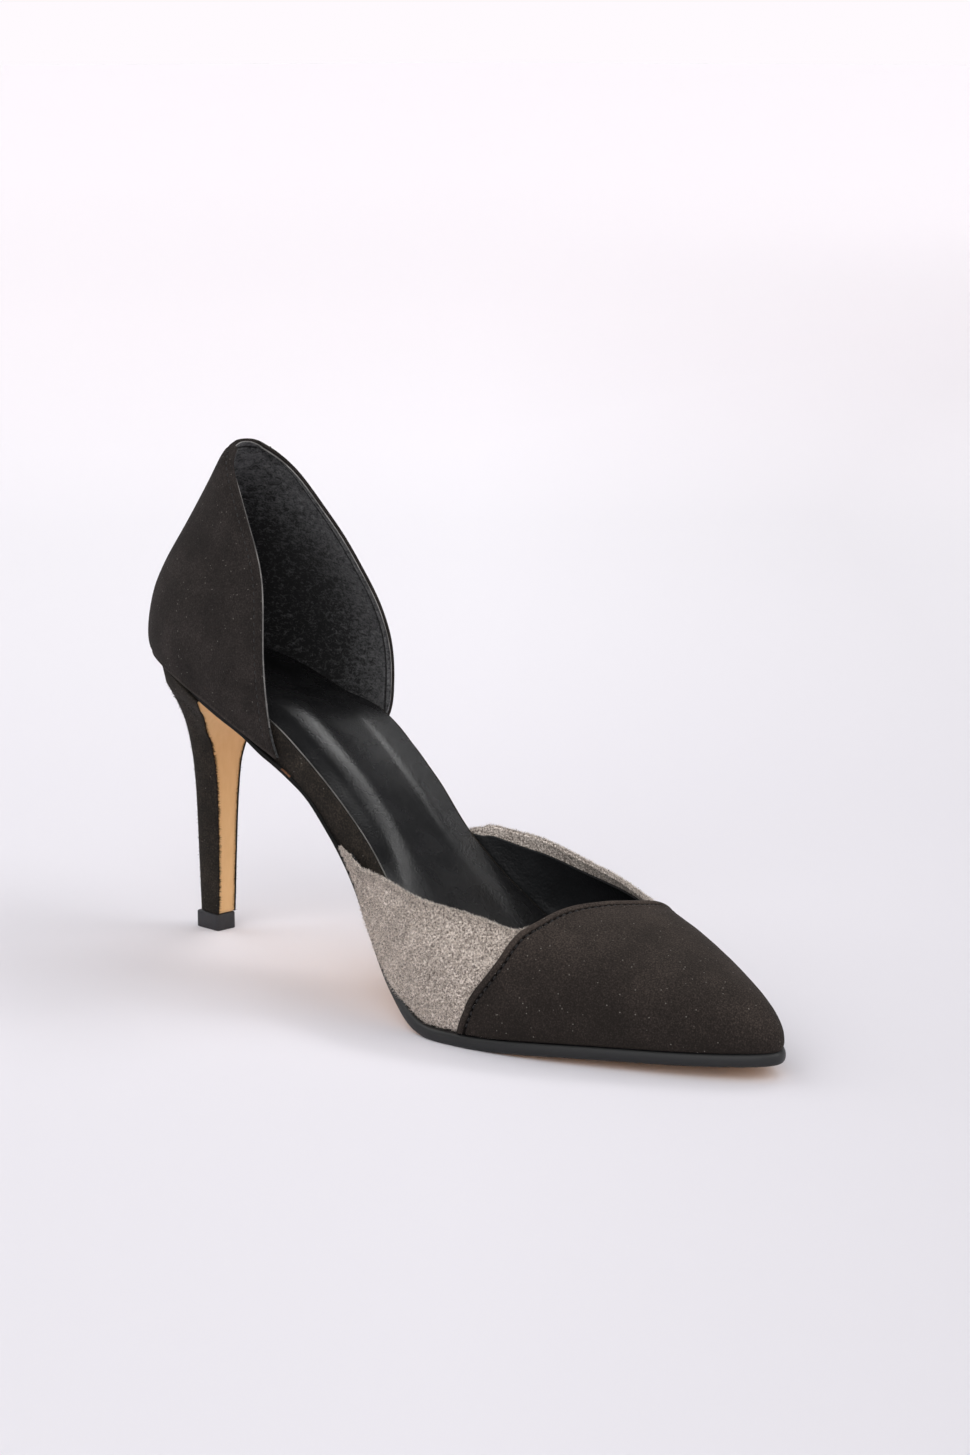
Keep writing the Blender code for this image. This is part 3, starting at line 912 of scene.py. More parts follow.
    def quarter(self, lam: Array, up: Array, raised: Array | float = 0.0) -> Array:
        """Points of the heel cup, raised square to its skin.

        Args:
            lam: -1 at the inner front edge, 0 at the back, 1 at the outer front edge.
            up: cup_low at the lower edge, 1 at the top.
            raised: height over the skin in mm.

        Returns:
            Points with three coordinates last.
        """
        lam, up = np.broadcast_arrays(np.asarray(lam, float), np.asarray(up, float))
        step = 2e-3
        side = np.clip(lam, -1 + step, 1 - step)
        high = np.clip(up, 2 * self.cup_low, 1 - step)
        normal = np.cross(self.cup_skin(side + step, high) - self.cup_skin(side - step, high),
                          self.cup_skin(side, high + step) - self.cup_skin(side, high - step))
        away = self.cup_skin(lam, up) - np.array(self.cup_inside)
        normal = unit(normal) * np.sign(np.sum(normal * away, axis=-1, keepdims=True))
        return self.cup_skin(lam, up) + normal * np.asarray(raised, float)[..., None]

    def bed(self, x: Array, y: Array, by: Array) -> Array:
        """Points over the feather line, raised square to it.

        Args:
            x: lengths in mm.
            y: widths in mm.
            by: heights over the feather line in mm.

        Returns:
            Points with three coordinates last.
        """
        step = 0.05
        slope = (self.feather(x + step) - self.feather(x - step)) / (2 * step)
        size = np.hypot(1, slope)
        return np.stack([x - by * slope / size, y + 0 * by, self.feather(x) + by / size], -1)


LAST = Last()


@dataclass(frozen=True)
class Finishes:
    """Every finish of the shoe."""

    # Split side left rough and brushed up: pale fibres over darker hide, so it reads as coarse salt and
    # pepper. The nap is drawn at twice its real width, to show.
    panel: Suede = Suede("grey_split_suede", "#766c65", "#c6bab0", "#fdf2e8", 0.55, 6.0, 0.12, 0.5, 0.25)
    # Short sanded nap: matt and nearly even, with dust on it, and a pressed stitched lip painted paler as a
    # highlight, with painted shadow in its seam.
    cap: Suede = Suede("brown_black_suede", "#211d1a", "#2f2926", "#433b36", 0.42, 14.0, 0.3, 0.16, 0.3, 0.3,
                       seam_mm=2.3, lip="#d6d6d6")
    # The same nap dyed blacker: broad soft patches where it was stroked.
    cup: Suede = Suede("black_suede", "#1c1918", "#272321", "#373230", 0.45, 11.0, 0.35, 0.16, 0.3, 0.25)
    # Thin suede pulled tight round the heel and the board: closer patches, warmer in the light.
    wrap: Suede = Suede("black_wrap_suede", "#1b1917", "#27231f", "#39332d", 0.5, 7.0, 0.3, 0.16, 0.25, 0.25)
    # Waxed smooth leather: soft mirror lines along its ridges, pebbled at the outer border. Real grain is
    # finer, and is drawn coarser to show.
    sock: Grain = Grain("black_sock_leather", "#0e0e0f", "#161617", 0.7, 0.07, 0.26, 0.45, 2.5)
    # Plain lining leather: duller, with an open grain that is drawn coarser than real, to show.
    lining: Grain = Grain("black_lining_leather", "#141517", "#1d1e20", 0.9, 0.1, 0.38, 0.4)
    # Brushed lining cloth: charcoal with pale combed wisps, a painted highlight on its lip along the topline
    # and painted shadow in its stitched seam.
    brushed: Brushed = Brushed("brushed_lining", "#141415", "#707071", 1.1, 2.3, "#dedede")
    # Leather under a coat of paint: an even warm tan, streaked down the heel.
    tan: Painted = Painted("tan_painted_leather", "#dcb078", "#e2b882", 0.5, (1.0, 1.0, 0.3), 0.03)
    # Edge ink, burnished: a satin black line round the sole.
    edge: Painted = Painted("black_edge_paint", "#0c0d0e", "#141516", 0.5, (0.25, 0.25, 1.0), 0.06)
    # Stain on the thin waist: dead matt black.
    waist: Painted = Painted("black_waist_stain", "#0b0a0a", "#131211", 0.75, (0.25, 0.25, 1.0), 0.06, 0.2)
    # Moulded rubber: dark grey with a dull gloss.
    tip: Painted = Painted("black_moulded_rubber", "#1f1f22", "#29292d", 0.5, (1.0, 1.0, 0.6), 0.05)
    # Spun thread: a darker dash in each seam.
    thread: Painted = Painted("black_thread", "#0a0909", "#141212", 0.6, (1.0, 1.0, 1.0), 0.05)
    # Cut edge without dye: a thin light line, uneven along its length.
    raw: Painted = Painted("pale_cut_edge", "#3b3937", "#8c8986", 0.7, (0.25, 0.25, 0.25), 0.05)
    # Scraped leather: a small brown patch where the stain has gone.
    bare: Painted = Painted("brown_bare_leather", "#37210f", "#75492a", 0.7, (1.0, 1.0, 1.0), 0.05)


@dataclass(frozen=True)
class SubAssembly:
    """Part of the shoe that makes its pieces in the shop and dresses them in the shoe's finishes."""

    shop: Shop
    looks: Finishes


def seam(line: Array, normal: Array, pitch: float, long: float, thick: float) -> Surface:
    """A row of stitches: closed spindles along a line, their ends dipping into the material.

    Args:
        line: closely spaced points of the seam, in mm.
        normal: outward normals there.
        pitch: spacing of the stitches in mm.
        long: length of a stitch in mm.
        thick: thickness of the thread in mm.

    Returns:
        The stitches as one surface.
    """
    rings, sides = 9, 8
    index, count = even(line, pitch)
    out = unit(between(normal, index))
    ahead = unit(between(np.gradient(line, axis=0), index))
    share = np.linspace(-1, 1, rings)[:, None]
    turn = np.linspace(0, 2 * np.pi, sides, endpoint=False)[None]
    radius = thick / 2 * np.sqrt(np.maximum(1 - share ** 4, 0))
    high = radius * np.sin(turn) * 0.8 - thick * 0.7 * share ** 2
    local = np.stack([share * long / 2 + 0 * turn, radius * np.cos(turn), high], -1)
    axes = np.stack([ahead, np.cross(out, ahead), out], 1)
    points = between(line, index)[:, None, None] + np.einsum("rci,nij->nrcj", local, axes)
    one = Surface.grid(rings, sides, wrap=True)
    corners = local.reshape(-1, 3)[one]
    if np.sum(np.cross(corners[:, 0], corners[:, 1]) * corners[:, 2]) < 0:
        one = one[:, ::-1]
    faces = one[None] + (np.arange(count) * rings * sides)[:, None, None]
    return Surface(points.reshape(-1, 3), faces.reshape(-1, 4), {})


def fibres(roots: Array, lean: Array, length: Array, thick: float, tone: Array) -> Surface:
    """Loose nap fibres: closed needles of three sides that lean out from their roots.

    They are fewer and thicker than real fibres, to show.

    Args:
        roots: root points in mm.
        lean: directions of the fibres.
        length: length of each in mm.
        thick: thickness at the root in mm.
        tone: how much paler each is than the nap round it.

    Returns:
        The fibres as one surface.
    """
    lean = unit(lean)
    across = unit(np.cross(lean, np.array([0.31, 0.52, 0.79])))
    other = np.cross(lean, across)
    turn = np.radians([0.0, 120.0, 240.0])[:, None, None]
    base = roots + (np.cos(turn) * across + np.sin(turn) * other) * thick / 2
    tip = roots + lean * length[:, None]
    points = np.concatenate([base, tip[None]]).transpose(1, 0, 2).reshape(-1, 3)
    sides = np.array([[0, 1, 3, 3], [1, 2, 3, 3], [2, 0, 3, 3], [2, 1, 0, 0]])
    faces = (sides[None] + 4 * np.arange(len(roots))[:, None, None]).reshape(-1, 4)
    return Surface(points, faces, {"tone": np.repeat(tone, 4)})


def sow(grid: Array, want: Array, rng: np.random.Generator) -> Array:
    """Draw places on a grid, as indices of its points.

    Args:
        grid: grid of points in mm.
        want: fibres for each square mm, at each point.
        rng: random draws.

    Returns:
        Flat indices of points, one for each fibre.
    """
    cell = np.linalg.norm(np.cross(np.gradient(grid, axis=0), np.gradient(grid, axis=1)), axis=-1)
    count = rng.poisson((cell * want).ravel())
    return np.repeat(np.arange(count.size), count)


def crossing(field: Array, level: Array | float) -> Array:
    """Find where the columns of a field that rises with the rows first pass a level.

    Args:
        field: grid of values.
        level: one level, or one for each column.

    Returns:
        Fractional row for each column.
    """
    past = np.maximum(np.argmax(field > level, axis=0), 1)
    columns = np.arange(field.shape[1])
    low, high = field[past - 1, columns], field[past, columns]
    return past - 1 + (level - low) / np.maximum(high - low, 1e-9)


def along_rows(grid: Array, index: Array) -> Array:
    """Values of a grid at fractional rows, straight between neighbours.

    Args:
        grid: grid of values.
        index: fractional row for each column.

    Returns:
        One value for each column.
    """
    low = np.clip(np.floor(index).astype(int), 0, grid.shape[0] - 2)
    share = index - low
    columns = np.arange(grid.shape[1])
    return grid[low, columns] * (1 - share) + grid[low + 1, columns] * share


@dataclass(frozen=True)
class Vamp(SubAssembly):
    """Front of the upper: two grey side panels, a dark toe cap over them and a lining inside."""

    suede_mm: float = 1.0
    lining_mm: float = 0.6
    wall_mm: float = 1.7
    cap_mm: float = 1.0
    cap_rise_mm: float = 1.2
    # How far the lining's top edge lies under the raw edge: along the sides, and at the throat.
    lining_drop_mm: float = 3.8
    throat_drop_mm: float = 0.8
    seam_mm: float = 2.3
    stitch_pitch_mm: float = 2.0
    stitch_long_mm: float = 1.45
    stitch_sunk_mm: float = 0.34
    thread_mm: float = 0.62
    panel_end_x: float = 158.0
    panel_round_mm: float = 0.35
    cap_round_mm: float = 0.5
    lining_round_mm: float = 0.3
    # Unevenness of the panels and of their raw edges, and softness of the cap: height, size and seed.
    nap_rows: Rows = ((0.11, 0.8, 3), (0.07, 1.7, 4))
    ragged_rows: Rows = ((0.22, 0.7, 9),)
    soft_rows: Rows = ((0.1, 9.0, 21), (0.05, 4.0, 22))
    # Toe cap beside its rear edge: sunk seam, rolled lip and swelling, as distance, width and height.
    lip_rows: Rows = ((2.3, 0.42, -0.62), (1.1, 0.75, 0.42), (3.4, 0.7, 0.16))
    # Loose fibres for each square mm, and how many more along the raw edge; their length and thickness.
    fibres_mm2: Pair = (15.0, 60.0)
    fibre_mm: Pair = (0.4, 0.95)
    fibre_thick_mm: float = 0.15
    edge_lean: Triple = (-0.7, 0.0, 0.9)
    # Folds of the lining: x, z and height; then their width and length.
    fold_rows: Rows = ((112.0, 14.0, 0.5), (126.0, 12.0, -0.4), (140.0, 11.0, 0.45))
    fold_mm: Pair = (1.6, 10.0)
    # Rear edge of the vamp, feather to feather round the throat: girth, x.
    edge_rows: Rows = (
        (-1.0, 77.9), (-0.955, 81.8), (-0.9, 87.4), (-0.79, 95.9), (-0.68, 105.1), (-0.6, 114.4),
        (-0.515, 125.4), (-0.46, 134.8), (-0.43, 142.8), (-0.395, 148.6), (-0.33, 151.0), (-0.2, 152.8),
        (0.0, 156.3), (0.15, 158.2), (0.3, 156.9), (0.36, 153.5), (0.41, 147.0), (0.5, 129.0),
        (0.575, 114.3), (0.67, 102.5), (0.77, 94.3), (0.86, 87.2), (1.0, 80.3))
    # Rear edge of the toe cap: girth, x.
    cap_rows: Rows = (
        (-1.0, 137.1), (-0.9, 139.6), (-0.8, 142.7), (-0.71, 145.6), (-0.59, 147.9), (-0.42, 149.2),
        (-0.34, 150.6), (-0.2, 152.2), (0.0, 155.8), (0.15, 157.8), (0.3, 156.3), (0.55, 151.8),
        (0.8, 145.8), (1.0, 140.0))
    # How far the foot of a panel is drawn down over the edge of the sole, over x.
    skirt_drop: Curve = steps((78.0, 1.4), (87.0, 1.6), (95.0, 2.5), (108.0, 2.6), (122.0, 0.5),
                              (130.0, 0.0))

    @staticmethod
    def line(rows: Rows, count: int) -> Array:
        """Evenly spaced points of an edge, measured on the vamp in mm.

        Args:
            rows: girth and x of the edge's points.
            count: number of points wanted.

        Returns:
            Rows of girth and x.
        """
        table = np.array(rows)
        spots = LAST.vamp(LAST.turn(table[:, 1]), table[:, 0])
        run = np.r_[0, np.cumsum(np.linalg.norm(np.diff(spots, axis=0), axis=1))]
        want = np.linspace(0, run[-1], count)
        made = np.stack([spline(run, table[:, 0])(want), spline(run, table[:, 1])(want)], -1)
        made[[0, -1], 0] = -1.0, 1.0
        return made

    @staticmethod
    def fan(line: Array, run: Array) -> tuple[Array, Array]:
        """Angles and girths of a fan from an edge to the nose, where its two sides meet in pairs.

        Args:
            line: edge as rows of girth and x.
            run: shares of the way from the edge to the nose, as a column or as a grid.

        Returns:
            Grids of angles and of girths.
        """
        level = np.linspace(-1, 1, len(line))
        angle = (1 - run) * LAST.turn(line[:, 1])
        return angle, line[:, 0] + (level - line[:, 0]) * run * run * (3 - 2 * run)

    @staticmethod
    def open_fan(skin: Array, radius: float) -> Array:
        """Edge rounding of a fan, left full along the nose line where its sides meet."""
        whole = np.concatenate([skin, skin[-2::-1, ::-1]])
        return rounding(whole, radius)[:len(skin)]

    def panel(self, side: Side) -> tuple[Array, Array, Array]:
        """Angles and girths of a side panel from its rear tip to under the toe cap.

        Args:
            side: which side of the foot.

        Returns:
            Grids of angles and girths, and the distance of each point from the raw edge in mm.
        """
        line = self.line(self.edge_rows, 600)
        part = line[line[:, 0] * side.value > 0.3]
        part = part[np.argsort(part[:, 1])]
        tip_x = part[0, 1] + 0.4
        x = tip_x + (self.panel_end_x - tip_x) * graded(230, 80.0, 0.5)
        top = np.minimum(np.interp(x, part[:, 1], np.abs(part[:, 0])), 0.992)
        share = graded(96, 36.0, 0.5)[None]
        girth = side.value * (1 - share * (1 - top[:, None]))
        angle = np.repeat(LAST.turn(x)[:, None], share.shape[1], axis=1)
        raw = LAST.vamp(LAST.turn(part[:, 1]), part[:, 0])
        return angle, girth, line_distance(LAST.vamp(angle, girth), raw)

    def skirt(self, points: Array, girth: Array) -> Array:
        """Draw the foot of a panel down over the edge of the sole, where the waist is thin.

        Args:
            points: grid of the panel in mm.
            girth: girth of each point.

        Returns:
            The moved points.
        """
        drop = self.skirt_drop(points[..., 0])
        way = np.stack([-0.7 * drop, np.sign(girth) * 0.2 * drop, -0.72 * drop], -1)
        return points + way * ramp(np.abs(girth), 0.9, 1.0)[..., None]

    def build_panels(self) -> None:
        """Make the side panels and the nap that stands off them."""
        paint = self.looks.panel.material()
        rng = np.random.default_rng(7)
        half = self.suede_mm / 2
        for side in Side:
            angle, girth, edge = self.panel(side)
            skin = LAST.vamp(angle, girth)
            full = rounding(skin, self.panel_round_mm)
            nap = rough(skin, self.nap_rows)
            middle = rough(skin, self.ragged_rows) * np.exp(-edge / 0.8) - half
            outer, inner = [self.skirt(LAST.vamp(angle, girth, middle + by * full), girth)
                            for by in (half + nap, -half - nap / 2)]
            nodes = ["vamp"] if side is Side.INNER else []
            name = "side_panel_" + side.name.lower()
            self.shop.piece(name, Surface.shell(outer, inner), [paint], "vamp", *nodes)
            self.build_nap(paint, side, outer, inner, edge, rng)

    def build_nap(self, paint: Material, side: Side, outer: Array, inner: Array, edge: Array,
                  rng: np.random.Generator) -> None:
        """Scatter fibres over a panel, more of them along its raw edge.

        Args:
            paint: the panel's material.
            side: side of the foot.
            outer: outer grid of the panel.
            inner: inner grid of the panel.
            edge: distance of each point from the raw edge.
            rng: random draws.
        """
        out = unit(outer - inner + 1e-9)
        all_over, at_edge = self.fibres_mm2
        pick = sow(outer, all_over + at_edge * np.exp(-edge / 0.7), rng)
        roots = outer.reshape(-1, 3)[pick] + rng.normal(0, 0.15, (len(pick), 3))
        tilt = np.array(self.edge_lean) * np.exp(-edge.ravel()[pick] / 0.6)[:, None]
        lean = out.reshape(-1, 3)[pick] * 0.55 + rng.normal(0, 0.55, (len(pick), 3)) + tilt
        length = rng.uniform(*self.fibre_mm, len(pick))
        tone = rng.uniform(-0.06, 0.16, len(pick))
        needles = fibres(roots, lean, length, self.fibre_thick_mm, tone)
        self.shop.piece("panel_nap_" + side.name.lower(), needles, [paint], "vamp")

    def build_cap(self) -> None:
        """Make the toe cap, with a rolled rear edge and a sunk row of stitches."""
        line = self.line(self.cap_rows, 231)
        angle, girth = self.fan(line, graded(130, 90.0, self.cap_round_mm, 4.5)[:, None])
        skin = LAST.vamp(angle, girth)
        edge = line_distance(skin, LAST.vamp(LAST.turn(line[:, 1]), line[:, 0]))
        away = np.abs(girth)
        quiet = ramp(edge, 0, 6.0) * ramp(1 - away, 0, 0.1) * ramp(angle, 0, 0.2)
        swell = bells(edge, self.lip_rows) + rough(skin, self.soft_rows) * quiet
        full = self.open_fan(skin, self.cap_round_mm)
        half = self.cap_mm / 2
        middle = self.cap_rise_mm - half
        outer = LAST.vamp(angle, girth, middle + (half + swell) * full)
        inner = LAST.vamp(angle, girth, middle - half * full)
        # Painted light and shade: paler towards the throat, where light from above and behind falls, darker
        # towards the sole.
        tone = 0.04 * np.exp(-edge / 12) - 0.13 * ramp(away, 0.4, 1.0)
        body = Surface.shell(outer, inner, edge_mm=edge, tone=tone)
        self.shop.piece("toe_cap_suede", body, [self.looks.cap.material()], "toe_cap", "toe_cap")
        row = crossing(edge, self.seam_mm)
        place = along_rows(angle, row), along_rows(girth, row)
        # The first and last stitches stay clear of the sole.
        inside = slice(4, -4)
        spots = LAST.vamp(*place, self.cap_rise_mm - self.stitch_sunk_mm)[inside]
        out = LAST.vamp_normal(*place)[inside]
        stitches = seam(spots, out, self.stitch_pitch_mm, self.stitch_long_mm, self.thread_mm)
        self.shop.piece("toe_cap_stitches", stitches, [self.looks.thread.material()], "toe_cap")

    def build_lining(self) -> None:
        """Make the leather lining, its top edge set down from the raw edge of the panels."""
        line = self.line(self.edge_rows, 181)
        dense = np.linspace(0, 1, 200)
        rear = LAST.vamp(LAST.turn(line[:, 1]), line[:, 0])
        edge = line_distance(LAST.vamp(*self.fan(line, dense[:, None])), rear)
        away = np.abs(line[:, 0])
        share = ramp(away, 0.3, 0.45) * np.clip((1 - away) / 0.25, 0.15, 1)
        drop = self.throat_drop_mm + (self.lining_drop_mm - self.throat_drop_mm) * share
        start = crossing(edge, drop) / (len(dense) - 1)
        angle, girth = self.fan(line, start + (1 - start) * graded(90, 90.0, 0.4)[:, None])
        skin = LAST.vamp(angle, girth)
        full = self.open_fan(skin, self.lining_round_mm)
        half = self.lining_mm / 2
        middle = half - self.wall_mm
        outer = LAST.vamp(angle, girth, middle + half * full)
        inner = LAST.vamp(angle, girth, middle - (half + self.lining_creases(skin)) * full)
        self.shop.piece("vamp_lining", Surface.shell(outer, inner), [self.looks.lining.material()], "vamp")

    def lining_creases(self, skin: Array) -> Array:
        """Soft troughs of the lining: short slanting folds low on each side.

        Args:
            skin: points of the vamp.

        Returns:
            Extra height of the lining in mm.
        """
        wide, long = self.fold_mm
        total = np.zeros(skin.shape[:2])
        for x, z, high in self.fold_rows:
            slant = (skin[..., 0] - x) * 0.5 + (skin[..., 2] - z) * 0.86
            spread = (skin[..., 0] - x) * 0.86 - (skin[..., 2] - z) * 0.5
            total += high * np.exp(-(slant / wide) ** 2 - (spread / long) ** 2)
        return total

    def build(self) -> None:
        """Make every piece of the vamp."""
        self.build_panels()
        self.build_cap()
        self.build_lining()


@dataclass(frozen=True)
class HeelCup(SubAssembly):
    """Rear of the upper: black suede outside, a brushed lining inside, stitched along the topline."""

    suede_mm: float = 0.95
    lining_mm: float = 0.65
    wall_mm: float = 1.7
    lining_step_mm: float = 0.05
    suede_round_mm: float = 0.45
    lining_round_mm: float = 0.16
    # Pale cut edge of the lining: its width, and the share of the cup's height where it starts; below that it
    # keeps the lining's dark paint as painted shade in the groove by the insole.
    rim_mm: float = 0.3
    rim_low: float = 0.12
    seam_mm: float = 2.3
    stitch_pitch_mm: float = 2.2
    stitch_long_mm: float = 1.6
    thread_mm: float = 0.42
    # Rows of stitches: name, height over the cup's skin, and the way out of the leather there.
    stitch_rows: tuple[tuple[str, float, float], ...] = (("inside", -1.54, -0.3), ("outside", -0.08, 0.3))
    # Size of the cup, up and round, and its rounded edge and fine border: for the spacing of its grid.
    high_mm: float = 80.0
    round_mm: float = 150.0
    edge_mm: float = 0.4
    border_mm: float = 4.2
    # Suede beside the topline and the lower edge, and lining beside the topline: distance, width, height.
    top_rows: Rows = ((2.3, 0.35, -0.12),)
    foot_rows: Rows = ((0.55, 0.4, 0.24), (1.5, 0.5, -0.1))
    lining_rows: Rows = ((2.3, 0.4, -0.45),)
    # Painted highlight on the rolled lip of the lower edge and painted shade in the crease at the edge:
    # distance, width and tone.
    foot_light_and_shade: Rows = ((0.6, 0.35, 0.16), (0.0, 0.25, -0.2))
    # Softness of the suede and of the lining: height, size and seed.
    suede_soft: Rows = ((0.06, 7.0, 31),)
    lining_soft: Rows = ((0.12, 11.0, 41),)
    # Soft hollows of the suede: x, side, z, width, height and depth.
    hollow_rows: Rows = (
        (20.0, -1, 84.0, 13.0, 9.0, -0.35), (34.0, -1, 76.0, 8.0, 10.0, 0.3),
        (2.0, -1, 100.0, 10.0, 14.0, 0.25), (18.0, 1, 88.0, 12.0, 10.0, -0.3),
        (36.0, 1, 100.0, 9.0, 14.0, 0.25))
    # Scratch on the inner side: place round the cup, share of its height.
    mark_rows: Rows = ((-0.896, 0.237), (-0.87, 0.229), (-0.852, 0.21), (-0.834, 0.179), (-0.8, 0.113))

    def spread(self, lam_count: int, up_count: int, step: float) -> tuple[Array, Array]:
        """Grid of the cup whose free edges stand in by a step in mm.

        Args:
            lam_count: columns round the cup.
            up_count: rows up the cup.
            step: distance of the edge from the cup's own edge.

        Returns:
            Grids of the two parameters.
        """
        up = graded(up_count, self.high_mm, self.edge_mm, self.border_mm)[:, None]
        up = LAST.cup_low + (1 - LAST.cup_low) * up * (1 - step / self.high_mm)
        ring = LAST.quarter(np.linspace(0, 1, 60)[None], up)
        half = np.linalg.norm(np.diff(ring, axis=1), axis=-1).sum(1)[:, None]
        lam = (2 * graded(lam_count, self.round_mm, self.edge_mm, self.border_mm) - 1)[None]
        lam = lam * (1 - step / half)
        # The outer front corner is cut back where it meets the insole.
        lam = lam * (1 - 0.1 * (lam > 0) * np.clip(1 - up / 0.16, 0, 1) ** 2)
        return np.broadcast_arrays(lam, up)

    @staticmethod
    def topline() -> Array:
        """Free edge of the cup, from the inner feather over the top to the outer feather.

        Returns:
            Points of the edge in mm.
        """
        up = np.linspace(0, 1, 300)
        top = LAST.quarter(np.linspace(-1, 1, 40), 1.0)
        return np.concatenate([LAST.quarter(-1.0, up), top, LAST.quarter(1.0, up[::-1])])

    def creases(self, skin: Array) -> Array:
        """Soft hollows of the outer suede: depth times exp of minus the squared shares of their sizes.

        Args:
            skin: grid of the cup in mm.

        Returns:
            Extra height of the suede in mm.
        """
        total = np.zeros(skin.shape[:2])
        for x, side, z, wide, high, depth in self.hollow_rows:
            reach = ((skin[..., 0] - x) / wide) ** 2 + ((skin[..., 2] - z) / high) ** 2
            total += depth * np.exp(-reach) * (skin[..., 1] * side > 0)
        return total

    def build_suede(self, top: Array) -> None:
        """Make the suede outside, with a scratch in its nap.

        Args:
            top: points of the free edge.
        """
        lam, up = self.spread(141, 101, 0.0)
        skin = LAST.quarter(lam, up)
        edge = line_distance(skin, top)
        foot = line_distance(skin, LAST.quarter(np.linspace(-1, 1, 500), LAST.cup_low))
        hollows = self.creases(skin) * ramp(edge, 0, 8.0) * ramp(up, 0, 0.14)
        soft = rough(skin, self.suede_soft) * ramp(edge, 0, 3.0)
        swell = bells(edge, self.top_rows) + bells(foot, self.foot_rows) + hollows + soft
        full = rounding(skin, self.suede_round_mm)
        half = self.suede_mm / 2
        outer = LAST.quarter(lam, up, (half + swell) * full - half)
        inner = LAST.quarter(lam, up, -half * full - half)
        suede = self.looks.cup.material()
        body = Surface.shell(outer, inner, tone=bells(foot, self.foot_light_and_shade))
        self.shop.piece("quarter_suede", body, [suede], "quarter", "quarter")
        self.build_mark(suede)

    def build_mark(self, paint: Material) -> None:
        """Lift the nap along a hair-fine scratch on the inner side: fibres that lie along a curve.

        Args:
            paint: the suede's material.
        """
        rows = np.array(self.mark_rows)
        share = np.linspace(0, 1, len(rows))
        lam, up = [spline(share, column)(np.linspace(0, 1, 90)) for column in rows.T]
        hollows = self.creases(LAST.quarter(lam, up)[None])[0]
        line = LAST.quarter(lam, up, 0.03 + hollows)
        rng = np.random.default_rng(5)
        lean = np.gradient(line, axis=0) * 3 + rng.normal(0, 0.12, line.shape)
        length = rng.uniform(0.3, 0.7, len(line))
        tone = rng.uniform(0.1, 0.5, len(line))
        self.shop.piece("quarter_nap_mark", fibres(line, lean, length, 0.12, tone), [paint], "quarter")

    def build_lining(self, top: Array) -> None:
        """Make the brushed lining, whose cut edge is pale, but left dark low down as painted shade.

        Args:
            top: points of the free edge.
        """
        lam, up = self.spread(111, 81, self.lining_step_mm)
        skin = LAST.quarter(lam, up)
        edge = line_distance(skin, top)
        swell = bells(edge, self.lining_rows) + rough(skin, self.lining_soft) * ramp(edge, 0, 6.0)
        full = rounding(skin, self.lining_round_mm)
        half = self.lining_mm / 2
        middle = half - self.wall_mm
        outer = LAST.quarter(lam, up, middle + half * full)
        inner = LAST.quarter(lam, up, middle - (half + swell) * full)
        # Painted shade: darker down in the cup, away from the topline.
        tone = -0.14 * ramp(edge, 5.0, 25.0) * ramp(1.05 - up, 0, 0.6)
        body = Surface.shell(outer, inner, edge_mm=edge, tone=tone)
        corner = body.faces % edge.size
        at_edge = edge.ravel()[corner].max(1) < self.rim_mm
        # Low down the cut edge is not made pale: painted shade in the groove beside the insole.
        high = up.ravel()[corner].min(1) > self.rim_low
        first_half = np.arange(len(corner)) < len(corner) // 2
        body.paint = (at_edge & high & first_half).astype(int)
        paints = [self.looks.brushed.material(), self.looks.raw.material()]
        self.shop.piece("quarter_lining", body, paints, "quarter")

    def build_stitches(self, top: Array) -> None:
        """Sew a row of stitches through the cup, seen on its lining and on its suede.

        Args:
            top: points of the free edge.
        """
        lam = np.linspace(-1, 1, 401)
        up = np.linspace(0.09, 0.985, 240)
        edge = line_distance(LAST.quarter(lam[:, None], up[None]), top)
        half = len(lam) // 2
        paths = []
        for sign in (-1, 1):
            near = edge[::-sign][:half + 1]
            reach = near.max(0) > self.seam_mm + 0.4
            place = crossing(near, self.seam_mm)[reach] / half
            paths.append(np.stack([sign * (1 - place), up[reach]])[:, ::-sign])
        path = np.concatenate(paths, axis=1)
        thread = self.looks.thread.material()
        for name, raised, way in self.stitch_rows:
            line = LAST.quarter(*path, raised)
            out = unit(LAST.quarter(*path, raised + way) - line)
            stitches = seam(line, out, self.stitch_pitch_mm, self.stitch_long_mm, self.thread_mm)
            self.shop.piece("quarter_stitches_" + name, stitches, [thread], "quarter")

    def build(self) -> None:
        """Make every piece of the heel cup."""
        top = self.topline()
        self.build_suede(top)
        self.build_lining(top)
        self.build_stitches(top)


